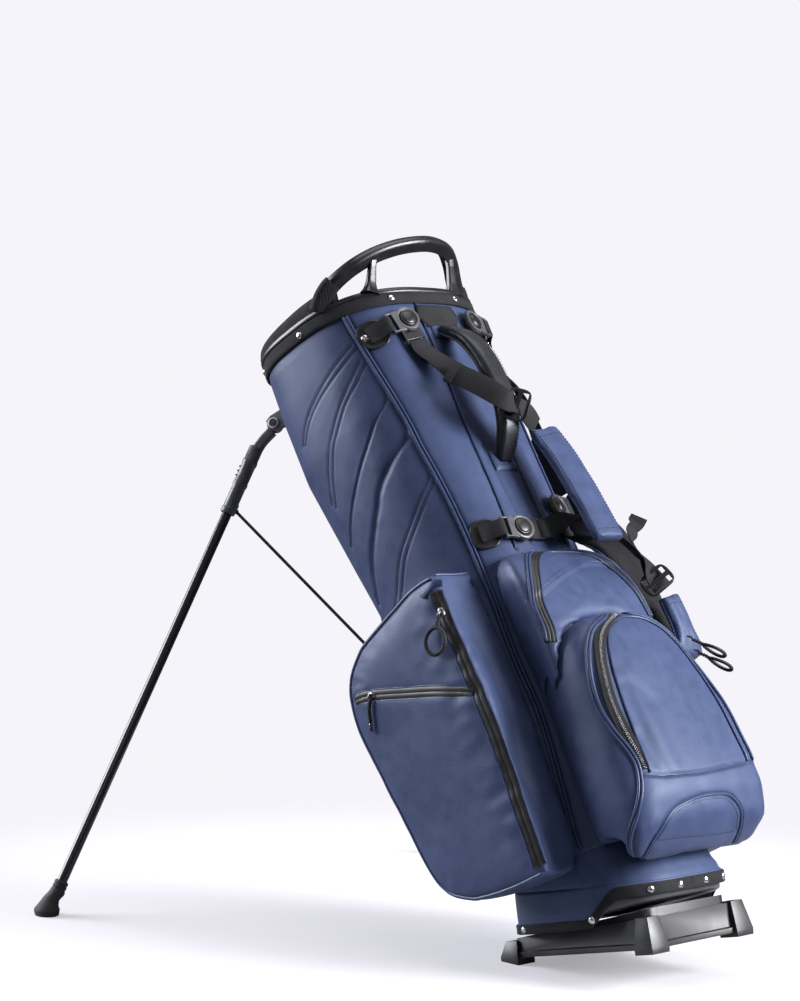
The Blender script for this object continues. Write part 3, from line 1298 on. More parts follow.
# piping where the lower pocket meets the wall and the upper pocket; (u, distance out, w)
POCKET_EDGE = [(164, 50, 259), (150, 72, 250), (128, 84, 243), (106, 92, 228), (98, 99, 200),
               (97, 105, 160), (97, 109, 100), (97, 111, 45)]
for side in (-1, 1):
    p, n = meet([(u, side * v, w) for u, v, w in POCKET_EDGE], BALL_BVH, WALL_BVH)
    cords.append(tube(p + n * 0.9, 2.1))

# upper pocket: coated zip between piping
for line, side in ((UP_ZIP_NEAR, 1), (UP_ZIP_FAR, -1)):
    p, n = surf(UP_BVH, line, 0.1, times=6)
    zips += coated_zip(p, n, 9.0)
    for across, radius in ((6.2, 1.9), (9.8, 1.5), (-6.2, 1.9)):
        q, m = nearest_on(UP_BVH, offset_path(p, n, across * side), 0.2)
        cords.append(tube(smooth_path(q + m * 0.4, 5), radius))
p, n = surf(UP_BVH, UP_FLAP, 0.15)
cords.append(tube(smooth_path(p), 1.0, 8))
threads += [seam_row(UP_BVH, p, n, across, radius=0.36) for across in (-3.0, -5.6)]
# two rows on the wall above the upper pocket
for rise in (0, 4.2):
    row = [(94.3, -83.3, 362.9 + rise), (113.3, -70, 364.4 + rise), (121, -45, 368 + rise),
           (121.5, -12, 374 + rise)]
    p, n = nearest_on(WALL_BVH, spline(row, 2.0), 0.2)
    threads.append(stitches(smooth_path(p), n, radius=0.4))
build("front_zips", zips, [ZIPTAPE, TEETH, COATED], "bag")
build("front_piping", cords, [PIPING], "bag")
build("front_stitches", threads, [THREAD], "bag")
pulls = []
for w in (214, 196):
    pulls += ring_pull((182, 92, w), (0.5, 0.75, -0.55), (0.5, 0.5, 0.6), size=12.5, cord=2.0,
                       stem=17)
build("front_pulls", pulls, [DARKMETAL, CORD], "bag")


# ------------------------------------------------------------------ collar
def rim_loops(profile, n=240):
    """Loops round the mouth for (offset, w at u = 0) points; the rim slopes with u."""
    angles = even_angles(n)
    loops = []
    for off, w0 in profile:
        w = np.full(n, float(w0))
        for _ in range(3):
            u, v = wall(angles, w, off)
            w = w0 - RIM_SLOPE * u
        loops.append(np.stack([u, v, w], 1))
    return loops


# (offset from the wall, w at u = 0)
COLLAR_FABRIC = [(0.2, 739.6), (0.9, 742), (1.0, 747), (1.4, 751), (0.6, 751.4), (-5, 751.2),
                 (-7, 749), (-7.2, 742), (-5, 740.2)]
COLLAR_BINDING = [(0.6, 735.6), (1.6, 734.7), (2.5, 735.6), (2.9, 740), (2.9, 747),
                  (2.5, 750.6), (1.6, 751.3), (0.6, 750.5)]
MOUTH_RIM = [(2.4, 751.6), (3.0, 752.6), (3.0, 756.2), (1.8, 758.2), (-1, 759), (-8, 758.9),
             (-12, 757.6), (-12.6, 755.5), (-12.4, 753), (-10, 751.9)]
build("collar_fabric", [hoop(rim_loops(COLLAR_FABRIC))], [BLACKFAB], "bag",
      "collar_cuff")
build("collar_binding", [hoop(rim_loops(COLLAR_BINDING))], [BINDING], "bag",
      "collar_trim")
threads = []
for w0 in (737.2, 749.0):
    row = rim_loops([(3.0, w0)], 360)[0]
    row = np.vstack([row, row[:1]])
    threads.append(stitches(row, wall_normal(row[:, 0], row[:, 1], row[:, 2]), 0.32, gap=1.5))
build("collar_stitches", threads, [BLACKTHREAD], "bag")

# ------------------------------------------------------------------ mouth
MOUTH_W = 750
CELL_INSET, CELL_CORNER = -13.5, 9  # offset from the wall, corner radius


def inside_mouth(uv):
    u, v = uv
    depth, half = depth_at(u, MOUTH_W) + CELL_INSET, at(HALF_W, MOUTH_W) + CELL_INSET
    return (abs(u / depth) ** POWER + abs(v / half) ** POWER) <= 1


def cell_loop(u0, u1, v0, v1):
    """A rounded rectangle, drawn in where it would leave the mouth."""
    c = np.array([(max(u0, -85) + min(u1, 85)) / 2, (max(v0, -85) + min(v1, 85)) / 2])
    loop = round_rect(u1 - u0, v1 - v0, CELL_CORNER, 6) + [(u0 + u1) / 2, (v0 + v1) / 2]
    out = []
    for p in resample(np.vstack([loop, loop[:1]]), 3)[:-1]:
        q = p.copy()
        if not inside_mouth(q):
            low, high = 0.0, 1.0
            for _ in range(22):
                k = (low + high) / 2
                if inside_mouth(c + (p - c) * k):
                    low = k
                else:
                    high = k
            q = c + (p - c) * low
        if not out or np.hypot(*(q - out[-1])) > 0.8:
            out.append(q)
    return np.array(out)


CELLS = [cell_loop(u0, u1, v0, v1) for v0, v1 in ((-140, -5), (5, 140))
         for u0, u1 in ((-140, -38), (-29, 33), (42, 140))]


def shear(p):
    """Slopes a level shape like the rim."""
    p = np.array(p, float)
    p[..., 2] -= RIM_SLOPE * p[..., 0]
    return p


plate_outline = np.stack(wall(even_angles(120, MOUTH_W), np.full(120, float(MOUTH_W)), -10.6), 1)
plate_v, plate_f = prism(plate_outline, 16, CELLS)
plate = build("mouth_plate", [(shear(plate_v + [0, 0, 741]), plate_f)], [SOFTPLASTIC], None,
              smooth=False)
bevel(plate, 1.8, segments=3, angle=40)
plate.data.polygons.foreach_set("use_smooth", [True] * len(plate.data.polygons))
plate.data.set_sharp_from_angle(angle=math.radians(50))
finish_piece(plate, "bag")

# the arch that rises over the mouth's spine side, (u, v, w)
ARCH = [(52, -120, 753), (72, -116, 768), (99, -104, 777), (120, -76, 787), (134, -40, 794),
        (140, 0, 798), (137, 27, 800), (128, 54, 799), (110, 76, 792), (93, 89, 778),
        (76, 104, 765), (60, 118, 752)]
# (across, up): an open channel below with a smooth round back on top
ARCH_PROFILE = [
    (-7.5, -8.4), (-7.5, 2.0), (-6.6, 5.8), (-3.8, 8.0), (0, 8.6), (3.8, 8.0), (6.6, 5.8),
    (7.5, 2.0), (7.5, -8.4), (6.6, -8.9), (5.6, -8.4), (5.2, -1.0), (4.0, 0.4), (-4.0, 0.4),
    (-5.2, -1.0), (-5.6, -8.4), (-6.6, -8.9)]
ARCH_POSTS = (((104, -82, 744.0), (121, -71, 784.0)), ((107, 56, 744.0), (119, 65, 791.0)))
arch = spline(ARCH, 1.6)
arch_up = unit(np.stack([arch[:, 0] - 20, arch[:, 1] * 0.8, np.full(len(arch), 60.0)], 1))
mouth = [hoop(rim_loops(MOUTH_RIM)), sweep(arch, np.array(ARCH_PROFILE), arch_up)]
t, n, b = frames(arch, arch_up)
arch_run = run_of(arch)
for s in np.arange(14, arch_run[-1] - 12, 7.2):  # ribs across the channel
    i = int(np.searchsorted(arch_run, s))
    mouth.append(block(arch[i] - n[i] * 4.1, t[i] * 1.1, b[i] * 5.5, n[i] * 4.4))
for foot, head in ARCH_POSTS:  # tapered posts with flared feet
    foot, head = np.array(foot), np.array(head)
    path = spline([foot, foot * 0.75 + head * 0.25, (foot + head) / 2, head], 2.0)
    taper = np.interp(np.linspace(0, 1, len(path)), [0, 0.12, 0.3, 0.8, 1],
                      [1.9, 1.35, 1.0, 0.78, 0.9])
    mouth.append(sweep(path, round_rect(12, 9, 2.5), np.array([1.0, 0, 0]), scale=taper))
build("mouth_frame", mouth, [PLASTIC], "bag", "top_collar", auto=40)


def collar_web(side):
    """Fabric web from the rim up to the arch's foot."""
    u = np.linspace(-98, 74, 56)
    k = clamp((u + 72) / 146)
    out = np.array([0, side, 0])

    def edge(w, lift):
        return onto_wall(np.stack([u, np.full(56, side * 110.0), w - RIM_SLOPE * u], 1), lift)

    top = edge(757 + 3 + 6 * clamp((u + 98) / 26) + 13 * k ** 0.85, 0.4)
    top[:, 1] += -side * 4.0 * k
    inner_top = top + np.array([0, -side * 6.0, -1.0])
    rim, inner_rim = edge(757, 1.6), edge(756, -14.0)
    wave = 0.8 * np.sin(u * 0.21)[:, None] * np.array([0, side, 0.3])
    return rings(np.stack([
        edge(744, -7.0), edge(744, 2.2), rim + wave * 0.4, (rim + top) / 2 + wave + out * 0.8,
        top, top * 0.5 + inner_top * 0.5 + [0, 0, 1.4], inner_top, (inner_top + inner_rim) / 2,
        inner_rim], 1))


# the fabric cuffs round the arch's feet
CUFFS = ((-1, [(52, -119, 752), (66, -117.5, 764), (76, -115, 770), (83, -112, 773)]),
         (1, [(56, 119, 751), (66, 112, 758), (76, 104, 765), (83, 98, 770)]))
wraps = []
for side, points in CUFFS:
    wraps.append(collar_web(side))
    path = spline(points, 1.5)
    taper = np.interp(np.linspace(0, 1, len(path)), [0, 0.4, 0.9, 1.0], [1.35, 1.2, 1.06, 1.0])
    wraps.append(sweep(path, round_rect(17.5, 20.5, 6, 5), np.array([0.4, 0.6 * side, 0.9]),
                       scale=taper))
build("collar_wraps", wraps, [BLACKFAB], "bag")

# fabric sleeves under the plate: (scale, w)
SLEEVE = ((1.0, 742), (1.012, 738), (1.0, 725), (0.97, 700), (0.985, 670), (0.95, 640))
wells = []
for cell in CELLS:
    c = cell.mean(0)
    R = []
    for k, w in SLEEVE:
        loop = c + (cell - c) * k
        R.append(shear(np.column_stack([loop, np.full(len(loop), float(w))])))
    wells.append(rings(np.stack(R), caps=False))
# the full-length divider, a wavy double sheet
U, W = np.meshgrid(np.linspace(-92, 92, 60), np.linspace(70, 726, 120), indexing="ij")
narrowed = U * (0.86 + 0.14 * clamp((W - 60) / 200))
waves = 2.2 * np.sin(U * 0.04 + W * 0.012) + 1.5 * np.sin(W * 0.03)
sheet = np.stack([narrowed, waves, W - RIM_SLOPE * narrowed], -1)
sheets = np.vstack([sheet.reshape(-1, 3), (sheet + [0, 1.2, 0]).reshape(-1, 3)])
back_faces = [tuple(reversed(q)) for q in grid_faces(60, 120, start=60 * 120)]
wells.append((sheets, grid_faces(60, 120) + back_faces, 0))
build("club_wells", wells, [LINING], "bag", "divider_sheet")


def wall_rivet(u, v, w, lift=3.0, radius=4.2):
    p = onto_wall(np.array([(u, v, w)]), lift)[0]
    return dome(p, wall_normal(*p), radius)


rivets = [wall_rivet(u, side * 110.0, 742.0 - RIM_SLOPE * u, radius=4.4)
          for side in (-1, 1) for u in (14.0, -74.0)]
rivets += [wall_rivet(112.0, v, 731.8, radius=4.4) for v in (-60.0, 42.0)]
rivets += [wall_rivet(-108.0, v, 743.0) for v in (-70.0, 70.0)]
for side in (-1, 1):
    rivets.append(wall_rivet(84.5, side * 101.0, 690.0, lift=2.0, radius=4.6))
    rivets += [wall_rivet(-100.0, side * 66, w, lift=2.0, radius=3.6) for w in (728.0, 690.0)]
build("collar_rivets", rivets, [STEEL], "bag")

# ------------------------------------------------------------------ six-sided patch
PATCH_W = 706
HEXAGON = np.array([(-35, -2), (-25, -17), (25, -17), (35, -2), (29, 14), (-29, 14)], float)
hexagon = resample(np.vstack([HEXAGON, HEXAGON[:1]]), 2.5)[:-1]
patch = np.stack([on_spine(hexagon[:, 0] * k, PATCH_W + hexagon[:, 1] * k, lift)
                  for k, lift in ((1.0, 0.6), (1.0, 2.0), (0.93, 2.4), (0.55, 2.3), (0.02, 2.3))])
build("patch_skin", [(patch.reshape(-1, 3), rings(patch)[1], 0, patch[..., 1:].reshape(-1, 2))],
      [WEB], "bag", "spine_patch")
row = on_spine(hexagon[:, 0] * 0.9, PATCH_W + hexagon[:, 1] * 0.88, 2.5)
row = np.vstack([row, row[:1]])
build("patch_stitches", [stitches(row, wall_normal(row[:, 0], row[:, 1], row[:, 2]))],
      [BLACKTHREAD], "bag")

# ------------------------------------------------------------------ padded grab handle
GRAB = [(118.5, 0, 684), (126, 0, 677), (146, 0, 653), (157, 0, 622), (160, 0, 588),
        (158, 0, 556), (147, 0, 528), (130, 0, 508), (119.5, 0, 498)]
grab_path = spline(GRAB, 2.0)
grab_size = np.interp(np.linspace(0, 1, len(grab_path)), [0, 0.08, 0.3, 0.6, 0.92, 1],
                      [0.75, 0.95, 1.06, 1.04, 0.92, 0.72])
profile = round_rect(30, 13, 6, 5)
crown = 1.4 * np.cos(profile[:, 0] / 30 * math.pi)
profile[:, 1] += np.where(profile[:, 1] > 0, crown, 0)
_, grab_n, grab_b = frames(grab_path, np.array([1.0, 0, 0.0]))


def beside_grab(across, up):
    return grab_path + grab_b * (across * grab_size)[:, None] + grab_n * (up * grab_size)[:, None]


grab = [sweep(grab_path, profile, np.array([1.0, 0, 0.05]), scale=grab_size)]
for side in (-1, 1):
    grab.append(with_material(tube(beside_grab(side * 14.6, -4.6), 1.5, 8), 1))
    grab.append(with_material(stitches(beside_grab(side * 11.5, 7.3), grab_n, 0.33), 2))
build("grab_skin", grab, [BLACKLEA, GREY, BLACKTHREAD], "bag", "grab_handle")
# leather tabs that cover the handle's ends
tabs = []
for w0, w1 in ((484, 512), (674, 692)):
    W, V = np.meshgrid(np.linspace(w0, w1, 10), np.linspace(-19, 19, 14), indexing="ij")
    from_edge = np.minimum(np.minimum(W - w0, w1 - W) / 3, np.minimum(V + 19, 19 - V) / 3)
    U = spine_u(V, W, 0.2) + 2.2 * np.sqrt(clamp(from_edge))
    tabs.append((np.stack([U, V, W], -1).reshape(-1, 3), grid_faces(10, 14)))
build("grab_tabs", tabs, [LEATHER], "bag")

# ------------------------------------------------------------------ strap buckles
# tag: v, w, direction to the anchor, direction of the strap
BUCKLES = {
    "top_near": (-55, 697.5, (0, -1, -0.16), (0, 0.1, -1)),
    "top_far": (55, 697.5, (0, 1, -0.16), (0, -0.1, -1)),
    "mid_near": (-30, 401, (0, -1, 0.1), (0, 1, -0.1)),
    "mid_far": (52, 431, (0, 1, 0.1), (0, -0.15, -1)),
}
# turned profiles, (r, z)
SWIVEL_RING = [(11.7, 0), (11.7, 3.0), (12.4, 3.5), (14.8, 3.5), (15.4, 2.9), (15.4, 0.3),
               (14.8, 0), (12.2, -0.1)]
RECEIVER_RING = [(11.3, 3.8), (11.3, 8.2), (12.0, 9.2), (13.6, 9.6), (15.4, 9.0), (16.4, 7.4),
                 (16.6, 4.4), (15.8, 3.8)]
BUTTON = [(0.02, 11.7), (3, 11.65), (6.4, 11.3), (8.0, 10.8), (8.6, 10.1), (9.2, 10.2),
          (10.2, 9.9), (10.6, 9.2), (10.6, 5.2), (0.02, 5.2)]
# flat outlines and their slots, (x, y)
SWIVEL_ARMS = [(12, -13.5), (33.5, -14.2), (36, -12.6), (36, 12.6), (33.5, 14.2), (12, 13.5),
               (14.6, 5), (15.2, 0), (14.6, -5)]
SWIVEL_SLOT = [(26.4, -12), (31.6, -12), (31.6, 12), (26.4, 12)]
SHOULDER = [(9, -14.2), (12.5, -14.0), (18, -13.2), (28, -13.4), (28, 13.4), (18, 13.2),
            (12.5, 14.0), (9, 14.2), (13.2, 7), (14.4, 0), (13.2, -7)]
SHOULDER_SLOT = [(19.6, -11.4), (24.4, -11.4), (24.4, 11.4), (19.6, 11.4)]
# the anchor's oval pad: (scale, lift)
PAD_LOOPS = ((1.0, 0.3), (1.0, 2.0), (0.94, 2.9), (0.84, 2.2), (0.80, 2.2), (0.4, 2.4),
             (0.02, 2.4))


def flat_along(n, d):
    d = np.asarray(d, float)
    return unit(d - n * np.dot(d, n))


def anchor_parts(o, n, ax, ay, v0, w0):
    """Oval pad with a web loop through the receiver's slot."""
    v_mid, w_mid = v0 + ax[1] * 42, w0 + ax[2] * 42
    shape = oval(15, 19, 0.75, 0.75, 40)
    loops = []
    for k, lift in PAD_LOOPS:
        v = v_mid + (shape[:, 0] * k) * ax[1] + (shape[:, 1] * k) * ay[1]
        w = w_mid + (shape[:, 0] * k) * ax[2] + (shape[:, 1] * k) * ay[2]
        loops.append(on_spine(v, w, lift))
    v_end = v_mid + ax[1] * 8
    path = spline([o + ax * 23 + n * 3.0, o + ax * 26 + n * 8.8, o + ax * 30 + n * 8.4,
                   np.array([spine_u(v_mid, w_mid, 5), v_mid, w_mid]),
                   np.array([spine_u(v_end, w_mid, 3.8), v_end, w_mid + ax[2] * 8])], 1.5)
    k = np.linspace(0, 1, len(path))[:, None]
    end_normal = wall_normal(spine_u(v_mid, w_mid), v_mid, w_mid)
    web = sweep(path, round_rect(21, 1.8, 0.7, 2), unit(n * (1 - k) + end_normal * k))
    return [rings(np.stack(loops)), with_material(web, 1)]


def buckle(tag, v0, w0, anchor_dir, strap_dir):
    """Builds one buckle; returns its centre, normal and strap direction."""
    centre = on_spine(v0, w0)
    n = wall_normal(*centre)
    o = centre + n * 1.6
    ax, sx = flat_along(n, anchor_dir), flat_along(n, strap_dir)
    ay, sy = np.cross(n, ax), np.cross(n, sx)
    to_strap, to_anchor = (o, sx, sy, n), (o, ax, ay, n)
    v, f = prism(np.array(SWIVEL_ARMS), 3.2, [np.array(SWIVEL_SLOT)])
    build("swivel_arms_" + tag, [turned_ring(SWIVEL_RING, 48, to_strap), (placed(v, *to_strap), f)],
          [PLASTIC], "swivel_" + tag, "swivel_frame_" + tag, auto=35, edge=0.5)
    v, f = prism(np.array(SHOULDER), 5.2, [np.array(SHOULDER_SLOT)])
    shoulder = (placed(v + [0, 0, 3.8], *to_anchor), f)
    build("receiver_" + tag, [turned_ring(RECEIVER_RING, 48, to_anchor), shoulder], [GREY], "bag",
          "buckle_body_" + tag, auto=35, edge=0.7)
    build("button_cap_" + tag, [lathe(BUTTON, 40, to_anchor)], [PLASTIC], "button_" + tag,
          "push_button_" + tag, auto=50)
    build("anchor_pad_" + tag, anchor_parts(o, n, ax, ay, v0, w0), [PLASTIC, WEB], "bag",
          "anchor_plate_" + tag)
    return o, n, sx


ENDS = {tag: buckle(tag, *values) for tag, values in BUCKLES.items()}

# ------------------------------------------------------------------ straps
STRAP_W = 25.5
STRAP_PROFILE = round_rect(STRAP_W, 2.0, 0.9, 2)


def strap(path, *normals, profile=STRAP_PROFILE):
    return sweep(path, profile, spread([unit(x) for x in normals], len(path)))


def strap_path(tag, points):
    """Folds through the swivel frame's bar, then follows the points."""
    o, n, sx = ENDS[tag]
    fold = [o + sx * 29 + n * 1.7, o + sx * 33 + n * 4.6, o + sx * 40 + n * 3.8]
    return spline(fold + [np.array(p, float) for p in points], 2.0)


def add_strap(tag, parts):
    o, _, sx = ENDS[tag]
    ob = build("strap_" + tag, parts, [WEB], None, "webbing_" + tag, auto=42)
    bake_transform(ob, "bag", "swivel_" + tag, start=tuple(bag_to_scene(o + sx * 92)),
             end=tuple(bag_to_scene(o + sx * 44)))


def add_lock(tag, path, fraction, shift, normal, size=1.0):
    """A tri-glide on the strap: rounded frame, two slots, a middle bar and a lifted lip."""
    i = int(len(path) * fraction)
    n = unit(normal)
    d = flat_along(n, path[i + 1] - path[i - 1])
    slots = [np.array([(-13.5, a), (13.5, a), (13.5, b), (-13.5, b)])
             for a, b in ((-9, -2.4), (2.4, 9))]
    v, f = prism(oval(17, 12.5, 0.45, 0.7, 48), 3.4, slots)
    v = v + [0, 0, -1.7]
    v[:, 2] += 0.012 * v[:, 1] ** 2 - 0.004 * v[:, 0] ** 2 + 1.5
    v = placed(v * size, path[i] + np.array(shift), np.cross(n, d), d, n)
    build("lock_" + tag, [(v, f)], [PLASTIC], "bag", "ladder_lock_" + tag,
          auto=40, edge=0.6)


n = ENDS["top_near"][1]
path = strap_path("top_near", [(126, -47, 638), (141, -40, 608), (163, -34, 575),
                               (175, -17, 547), (169, 12, 536), (160, 31, 520)])
main = strap(path, n, n, (0.75, -0.65, 0.1), (0.6, -0.8, 0.1), (0.62, -0.75, 0.15),
             (0.75, -0.6, 0.1), (0.95, -0.3, 0.0))
# the loose tail lies over the strap and ends in a folded tip
tail = path[int(len(path) * 0.30):int(len(path) * 0.76)]
droop = 2.0 + 4.0 * clamp(1 - np.arange(len(tail)) / 12.0)
tail = tail + (np.array([1.7, -2.0, 0.2]) + np.array([-0.2, -1.0, -1.0]) * droop[:, None])
tip = sweep(tail[:6] + np.array([1.0, -1.2, 0.2]), round_rect(STRAP_W, 3.6, 0.8, 2),
            unit(np.array([0.7, -0.7, 0.1])))
tail = strap(tail, (0.7, -0.7, 0.1), (0.6, -0.8, 0.1), (0.62, -0.75, 0.15))
add_strap("top_near", [main, tail, tip])
add_lock("top_near", path, 0.80, shift=(1.6, -2.2, -0.4), normal=(0.66, -0.72, -0.15), size=1.18)

n = ENDS["top_far"][1]
path = strap_path("top_far", [(118, 56, 638), (113, 80, 620), (99, 106, 600), (82, 126, 572),
                              (66, 142, 530), (60, 148, 482)])
add_strap("top_far", [strap(path, n, (0.6, 0.6, 0.3), (0.2, 1, 0.2), (0, 1, 0.2))])
add_lock("top_far", path, 0.7, shift=(0.2, 1.6, 0.3), normal=(0.1, 1, 0.2))

n = ENDS["mid_near"][1]
path = strap_path("mid_near", [(143, 28, 401), (158, 52, 392), (162, 80, 366), (158, 105, 343),
                               (151, 123, 320), (148, 136, 298)])
main = strap(path, n, n, (0.75, 0.0, 0.66), (0.56, 0.02, 0.83), (0.56, 0.05, 0.83),
             (0.58, 0.05, 0.81), (0.62, 0.0, 0.78), (0.8, -0.4, 0.4), (0.8, -0.55, 0.1))
tail = spline([(152, 122, 320), (157, 111, 336), (161, 103, 350), (162, 103, 362),
               (166, 112, 374), (172, 122, 384)], 2.0)
tail = strap(tail, (0.8, -0.5, 0.2), (0.85, -0.2, 0.5), (0.75, 0.25, 0.6), (0.6, 0.5, 0.6),
             (0.5, 0.55, 0.4), (0.75, 0.2, 0.6), profile=round_rect(21, 1.8, 0.8, 2))
add_strap("mid_near", [main, tail])
add_lock("mid_near", path, 0.93, shift=(2.2, -2.6, -0.6), normal=(0.72, -0.66, -0.05), size=1.15)

path = strap_path("mid_far", [(129, 46, 379), (145, 46, 374), (158, 46, 367), (172, 46, 358)])
add_strap("mid_far", [strap(path, ENDS["mid_far"][1], (0.9, 0, 0.5))])


# ------------------------------------------------------------------ shoulder pads
def pinch_end(ob):
    """Narrows the hooked end of the second pad towards v = 139."""
    co = points_of(ob)
    p = scene_to_bag(co)
    k = clamp((p[:, 2] - 212) / 34) * (p[:, 0] > 124)
    co[:, 1] = 0.139 + (co[:, 1] - 0.139) * (1 - 0.36 * k * k * (3 - 2 * k))
    ob.data.vertices.foreach_set("co", co.ravel())


def pad(node, name, path, N, pinched=False):
    """A padded strap along a path: leather outside, fabric inside, piped and stitched."""
    across = np.cross(tangents(path), N)

    def pin(p):
        return 1.2 - line_dist(p, [path + across * 24, path - across * 24]) / 6

    ob = soft_from_cad(node, name, pin, voxel=4.0, pressure=7.0, cap=7.5, relax=3, frame_count=12)
    displace(ob, lambda p, _: 0.7 * vnoise(p, 0.03, 0.03, 0.03, 3.0)
             + 0.5 * vnoise(p, 0.08, 0.08, 0.05, 1.0))
    if pinched:
        pinch_end(ob)
    ob.data.materials.append(LEATHER)
    ob.data.materials.append(BLACKFAB)
    tree = tree_of(path)
    indices = np.zeros(len(ob.data.polygons), np.int32)
    for i, c in enumerate(scene_to_bag(np.array([p.center[:] for p in ob.data.polygons]))):
        j = tree.find(Vector(c))[1]
        if np.dot(c - path[j], N[j]) < -2.2:
            indices[i] = 1
    ob.data.polygons.foreach_set("material_index", indices)
    finish_piece(ob, "bag", node)
    bvh = bvh_of(ob)
    trim = []
    for side in (-1, 1):
        q, _ = nearest_on(bvh, path + across * (side * 24.0) - N * 2.0, 0.2)
        trim.append(tube(smooth_path(q, 4), 1.5, 8))
        q, m = nearest_on(bvh, path + across * (side * 20.5) + N * 6, 0.12)
        trim.append(with_material(stitches(smooth_path(q), m), 1))
    for j in (3, -4):
        row = np.array([path[j] + across[j] * t + N[j] * 6 for t in np.linspace(-20, 20, 20)])
        trim.append(with_material(stitches(*nearest_on(bvh, row, 0.12)), 1))
    build(name + "_trim", trim, [PIPING, THREAD], "bag")


path = spline([(160, 38, 514), (167, 43, 470), (173, 45, 410), (177, 45, 352)], 4.0)
pad("shoulder_pad_a", "strap_pad_a", path, np.tile([1.0, 0, 0], (len(path), 1)))
path = spline([(60, 148, 476), (76, 150, 430), (99, 148, 385), (111, 144, 322), (113, 143, 262),
               (117, 143, 229), (129, 142, 213), (141, 142, 223), (146, 141, 250),
               (148, 138, 288)], 4.0)
# the second pad faces outwards at its start and turns into the plane of its hook
t = tangents(path)
turn = clamp(np.linspace(0, 1, len(path)) / 0.4)[:, None]
in_plane = np.stack([t[:, 2], 0 * t[:, 0], -t[:, 0]], 1)
pad("shoulder_pad_b", "strap_pad_b", path,
    unit(in_plane * turn + np.array([0, 1.0, 0]) * (1 - turn)), pinched=True)


# ------------------------------------------------------------------ hard parts from the CAD
def refined(node, name, mat, body, width, segments=2, angle=30, dissolve=1.0, auto=38):
    """A CAD piece's copy with its edges softened; width is the bevel's, angles in degrees."""
    src = bpy.data.objects[node]
    mesh = src.data.copy()
    mesh.transform(src.matrix_world)
    mesh.name = name
    bm = bmesh.new()
    bm.from_mesh(mesh)
    bmesh.ops.remove_doubles(bm, verts=bm.verts, dist=2e-5)
    bmesh.ops.dissolve_limit(bm, angle_limit=math.radians(dissolve), verts=bm.verts,
                             edges=bm.edges)
    bmesh.ops.recalc_face_normals(bm, faces=bm.faces)
    bm.to_mesh(mesh)
    bm.free()
    mesh.materials.clear()
    mesh.materials.append(mat)
    for a in list(mesh.attributes):
        if a.name.startswith("custom_normal"):
            mesh.attributes.remove(a)
    mesh.polygons.foreach_set("use_smooth", [True] * len(mesh.polygons))
    mesh.polygons.foreach_set("material_index", [0] * len(mesh.polygons))
    ob = bpy.data.objects.new(name, mesh)
    scene.collection.objects.link(ob)
    bevel(ob, width, segments, angle)
    ob.data.set_sharp_from_angle(angle=math.radians(auto))
    finish_piece(ob, body, node)


# ------------------------------------------------------------------ legs
# Drawn for the near leg. leg_dir runs from the hinge to the foot, leg_out away from the bag.
pivot = np.array([-151.0, -57.0, 720.0])
foot = scene_to_bag(np.array([SHIFT - 541.0, -340.0, 0.0]) / 1000)
leg_dir = unit(foot - pivot)
hinge = unit(np.cross(leg_dir, [0, 0, -1.0]))
leg_out = unit(np.cross(hinge, leg_dir))
leg_out = leg_out if leg_out[0] < 0 else -leg_out
LEG = float(np.linalg.norm(foot - pivot))
tube_top = pivot + leg_dir * 44 + leg_out * 10
tube_dir = unit(pivot + leg_dir * (LEG - 4) - tube_top)
tube_len = float(np.linalg.norm(pivot + leg_dir * (LEG - 16) - tube_top))
tube_x = unit(np.cross(hinge, tube_dir))
tube_out = tube_x if np.dot(tube_x, leg_out) >= 0 else -tube_x
clip = pivot + leg_dir * 118 - hinge * 15 + leg_out * 8.5
rod_start = np.array([-127.0, -8.0, 266.0])
rod_dir = unit(clip - rod_start)
rod_len = float(np.linalg.norm(clip - rod_start))

refined("leg_bracket", "hinge_bracket", GREY, "bag", width=0.8)
heads = [dome(np.array([-at(LEG_R, 718) - 7.2, v, 718.0]), np.array([-1.0, 0, 0]), 4.4)
         for v in (-30.0, 0.0, 30.0)]
build("bracket_rivets", heads, [STEEL], "bag")

# (distance, radius) along the tube
SOCKET = [(-9, 0), (-9, 6.4), (-8.2, 8.2), (-6.5, 9.0), (10, 9.0), (11, 9.7), (16, 9.7),
          (17, 9.0), (40, 8.8), (41.5, 9.5), (45, 9.5), (46.5, 8.8), (76, 8.8), (77, 9.6),
          (82.6, 9.6), (84, 8.9), (84, 6.8), (70, 6.7), (70, 0)]
# turned profiles, (r, z)
EYE = [(9.6, -5.4), (9.6, 5.4), (8.9, 6.0), (4.2, 6.0), (3.9, 5.4), (3.9, -5.4), (4.2, -6.0),
       (8.9, -6.0)]
BOSS = [(0.02, -12.4), (3.2, -12.4), (3.6, -12), (5.4, -12), (6.0, -11.4), (6.0, -4), (0.02, -4)]
BOLT = [(0.02, 2.9), (2.2, 2.8), (2.6, 2.2), (3.4, 2.2), (3.8, 2.9), (4.8, 2.6), (5.2, 1.6),
        (5.3, 0.4), (0.02, 0.4)]
WASHER = [(5.2, 0.2), (5.2, 1.3), (5.6, 1.6), (6.6, 1.4), (7.0, 0.8), (7.0, 0.2)]
socket = [along(tube_top, tube_dir, SOCKET)]
eye_y = unit(np.cross(hinge, leg_dir))
socket.append(turned_ring(EYE, 36, (pivot, leg_dir, eye_y, hinge)))
arm = spline([pivot + leg_dir * 9.0, pivot + leg_dir * 26 + leg_out * 6, tube_top + tube_dir * 4],
             1.5)
arm_size = np.interp(np.linspace(0, 1, len(arm)), [0, 0.5, 1], [0.98, 0.94, 1.06])
socket.append(sweep(arm, round_rect(13.6, 10.4, 3.2), hinge, scale=arm_size))
socket.append(lathe(BOSS, 24, (tube_top + tube_dir * 70, tube_dir, tube_x, hinge)))
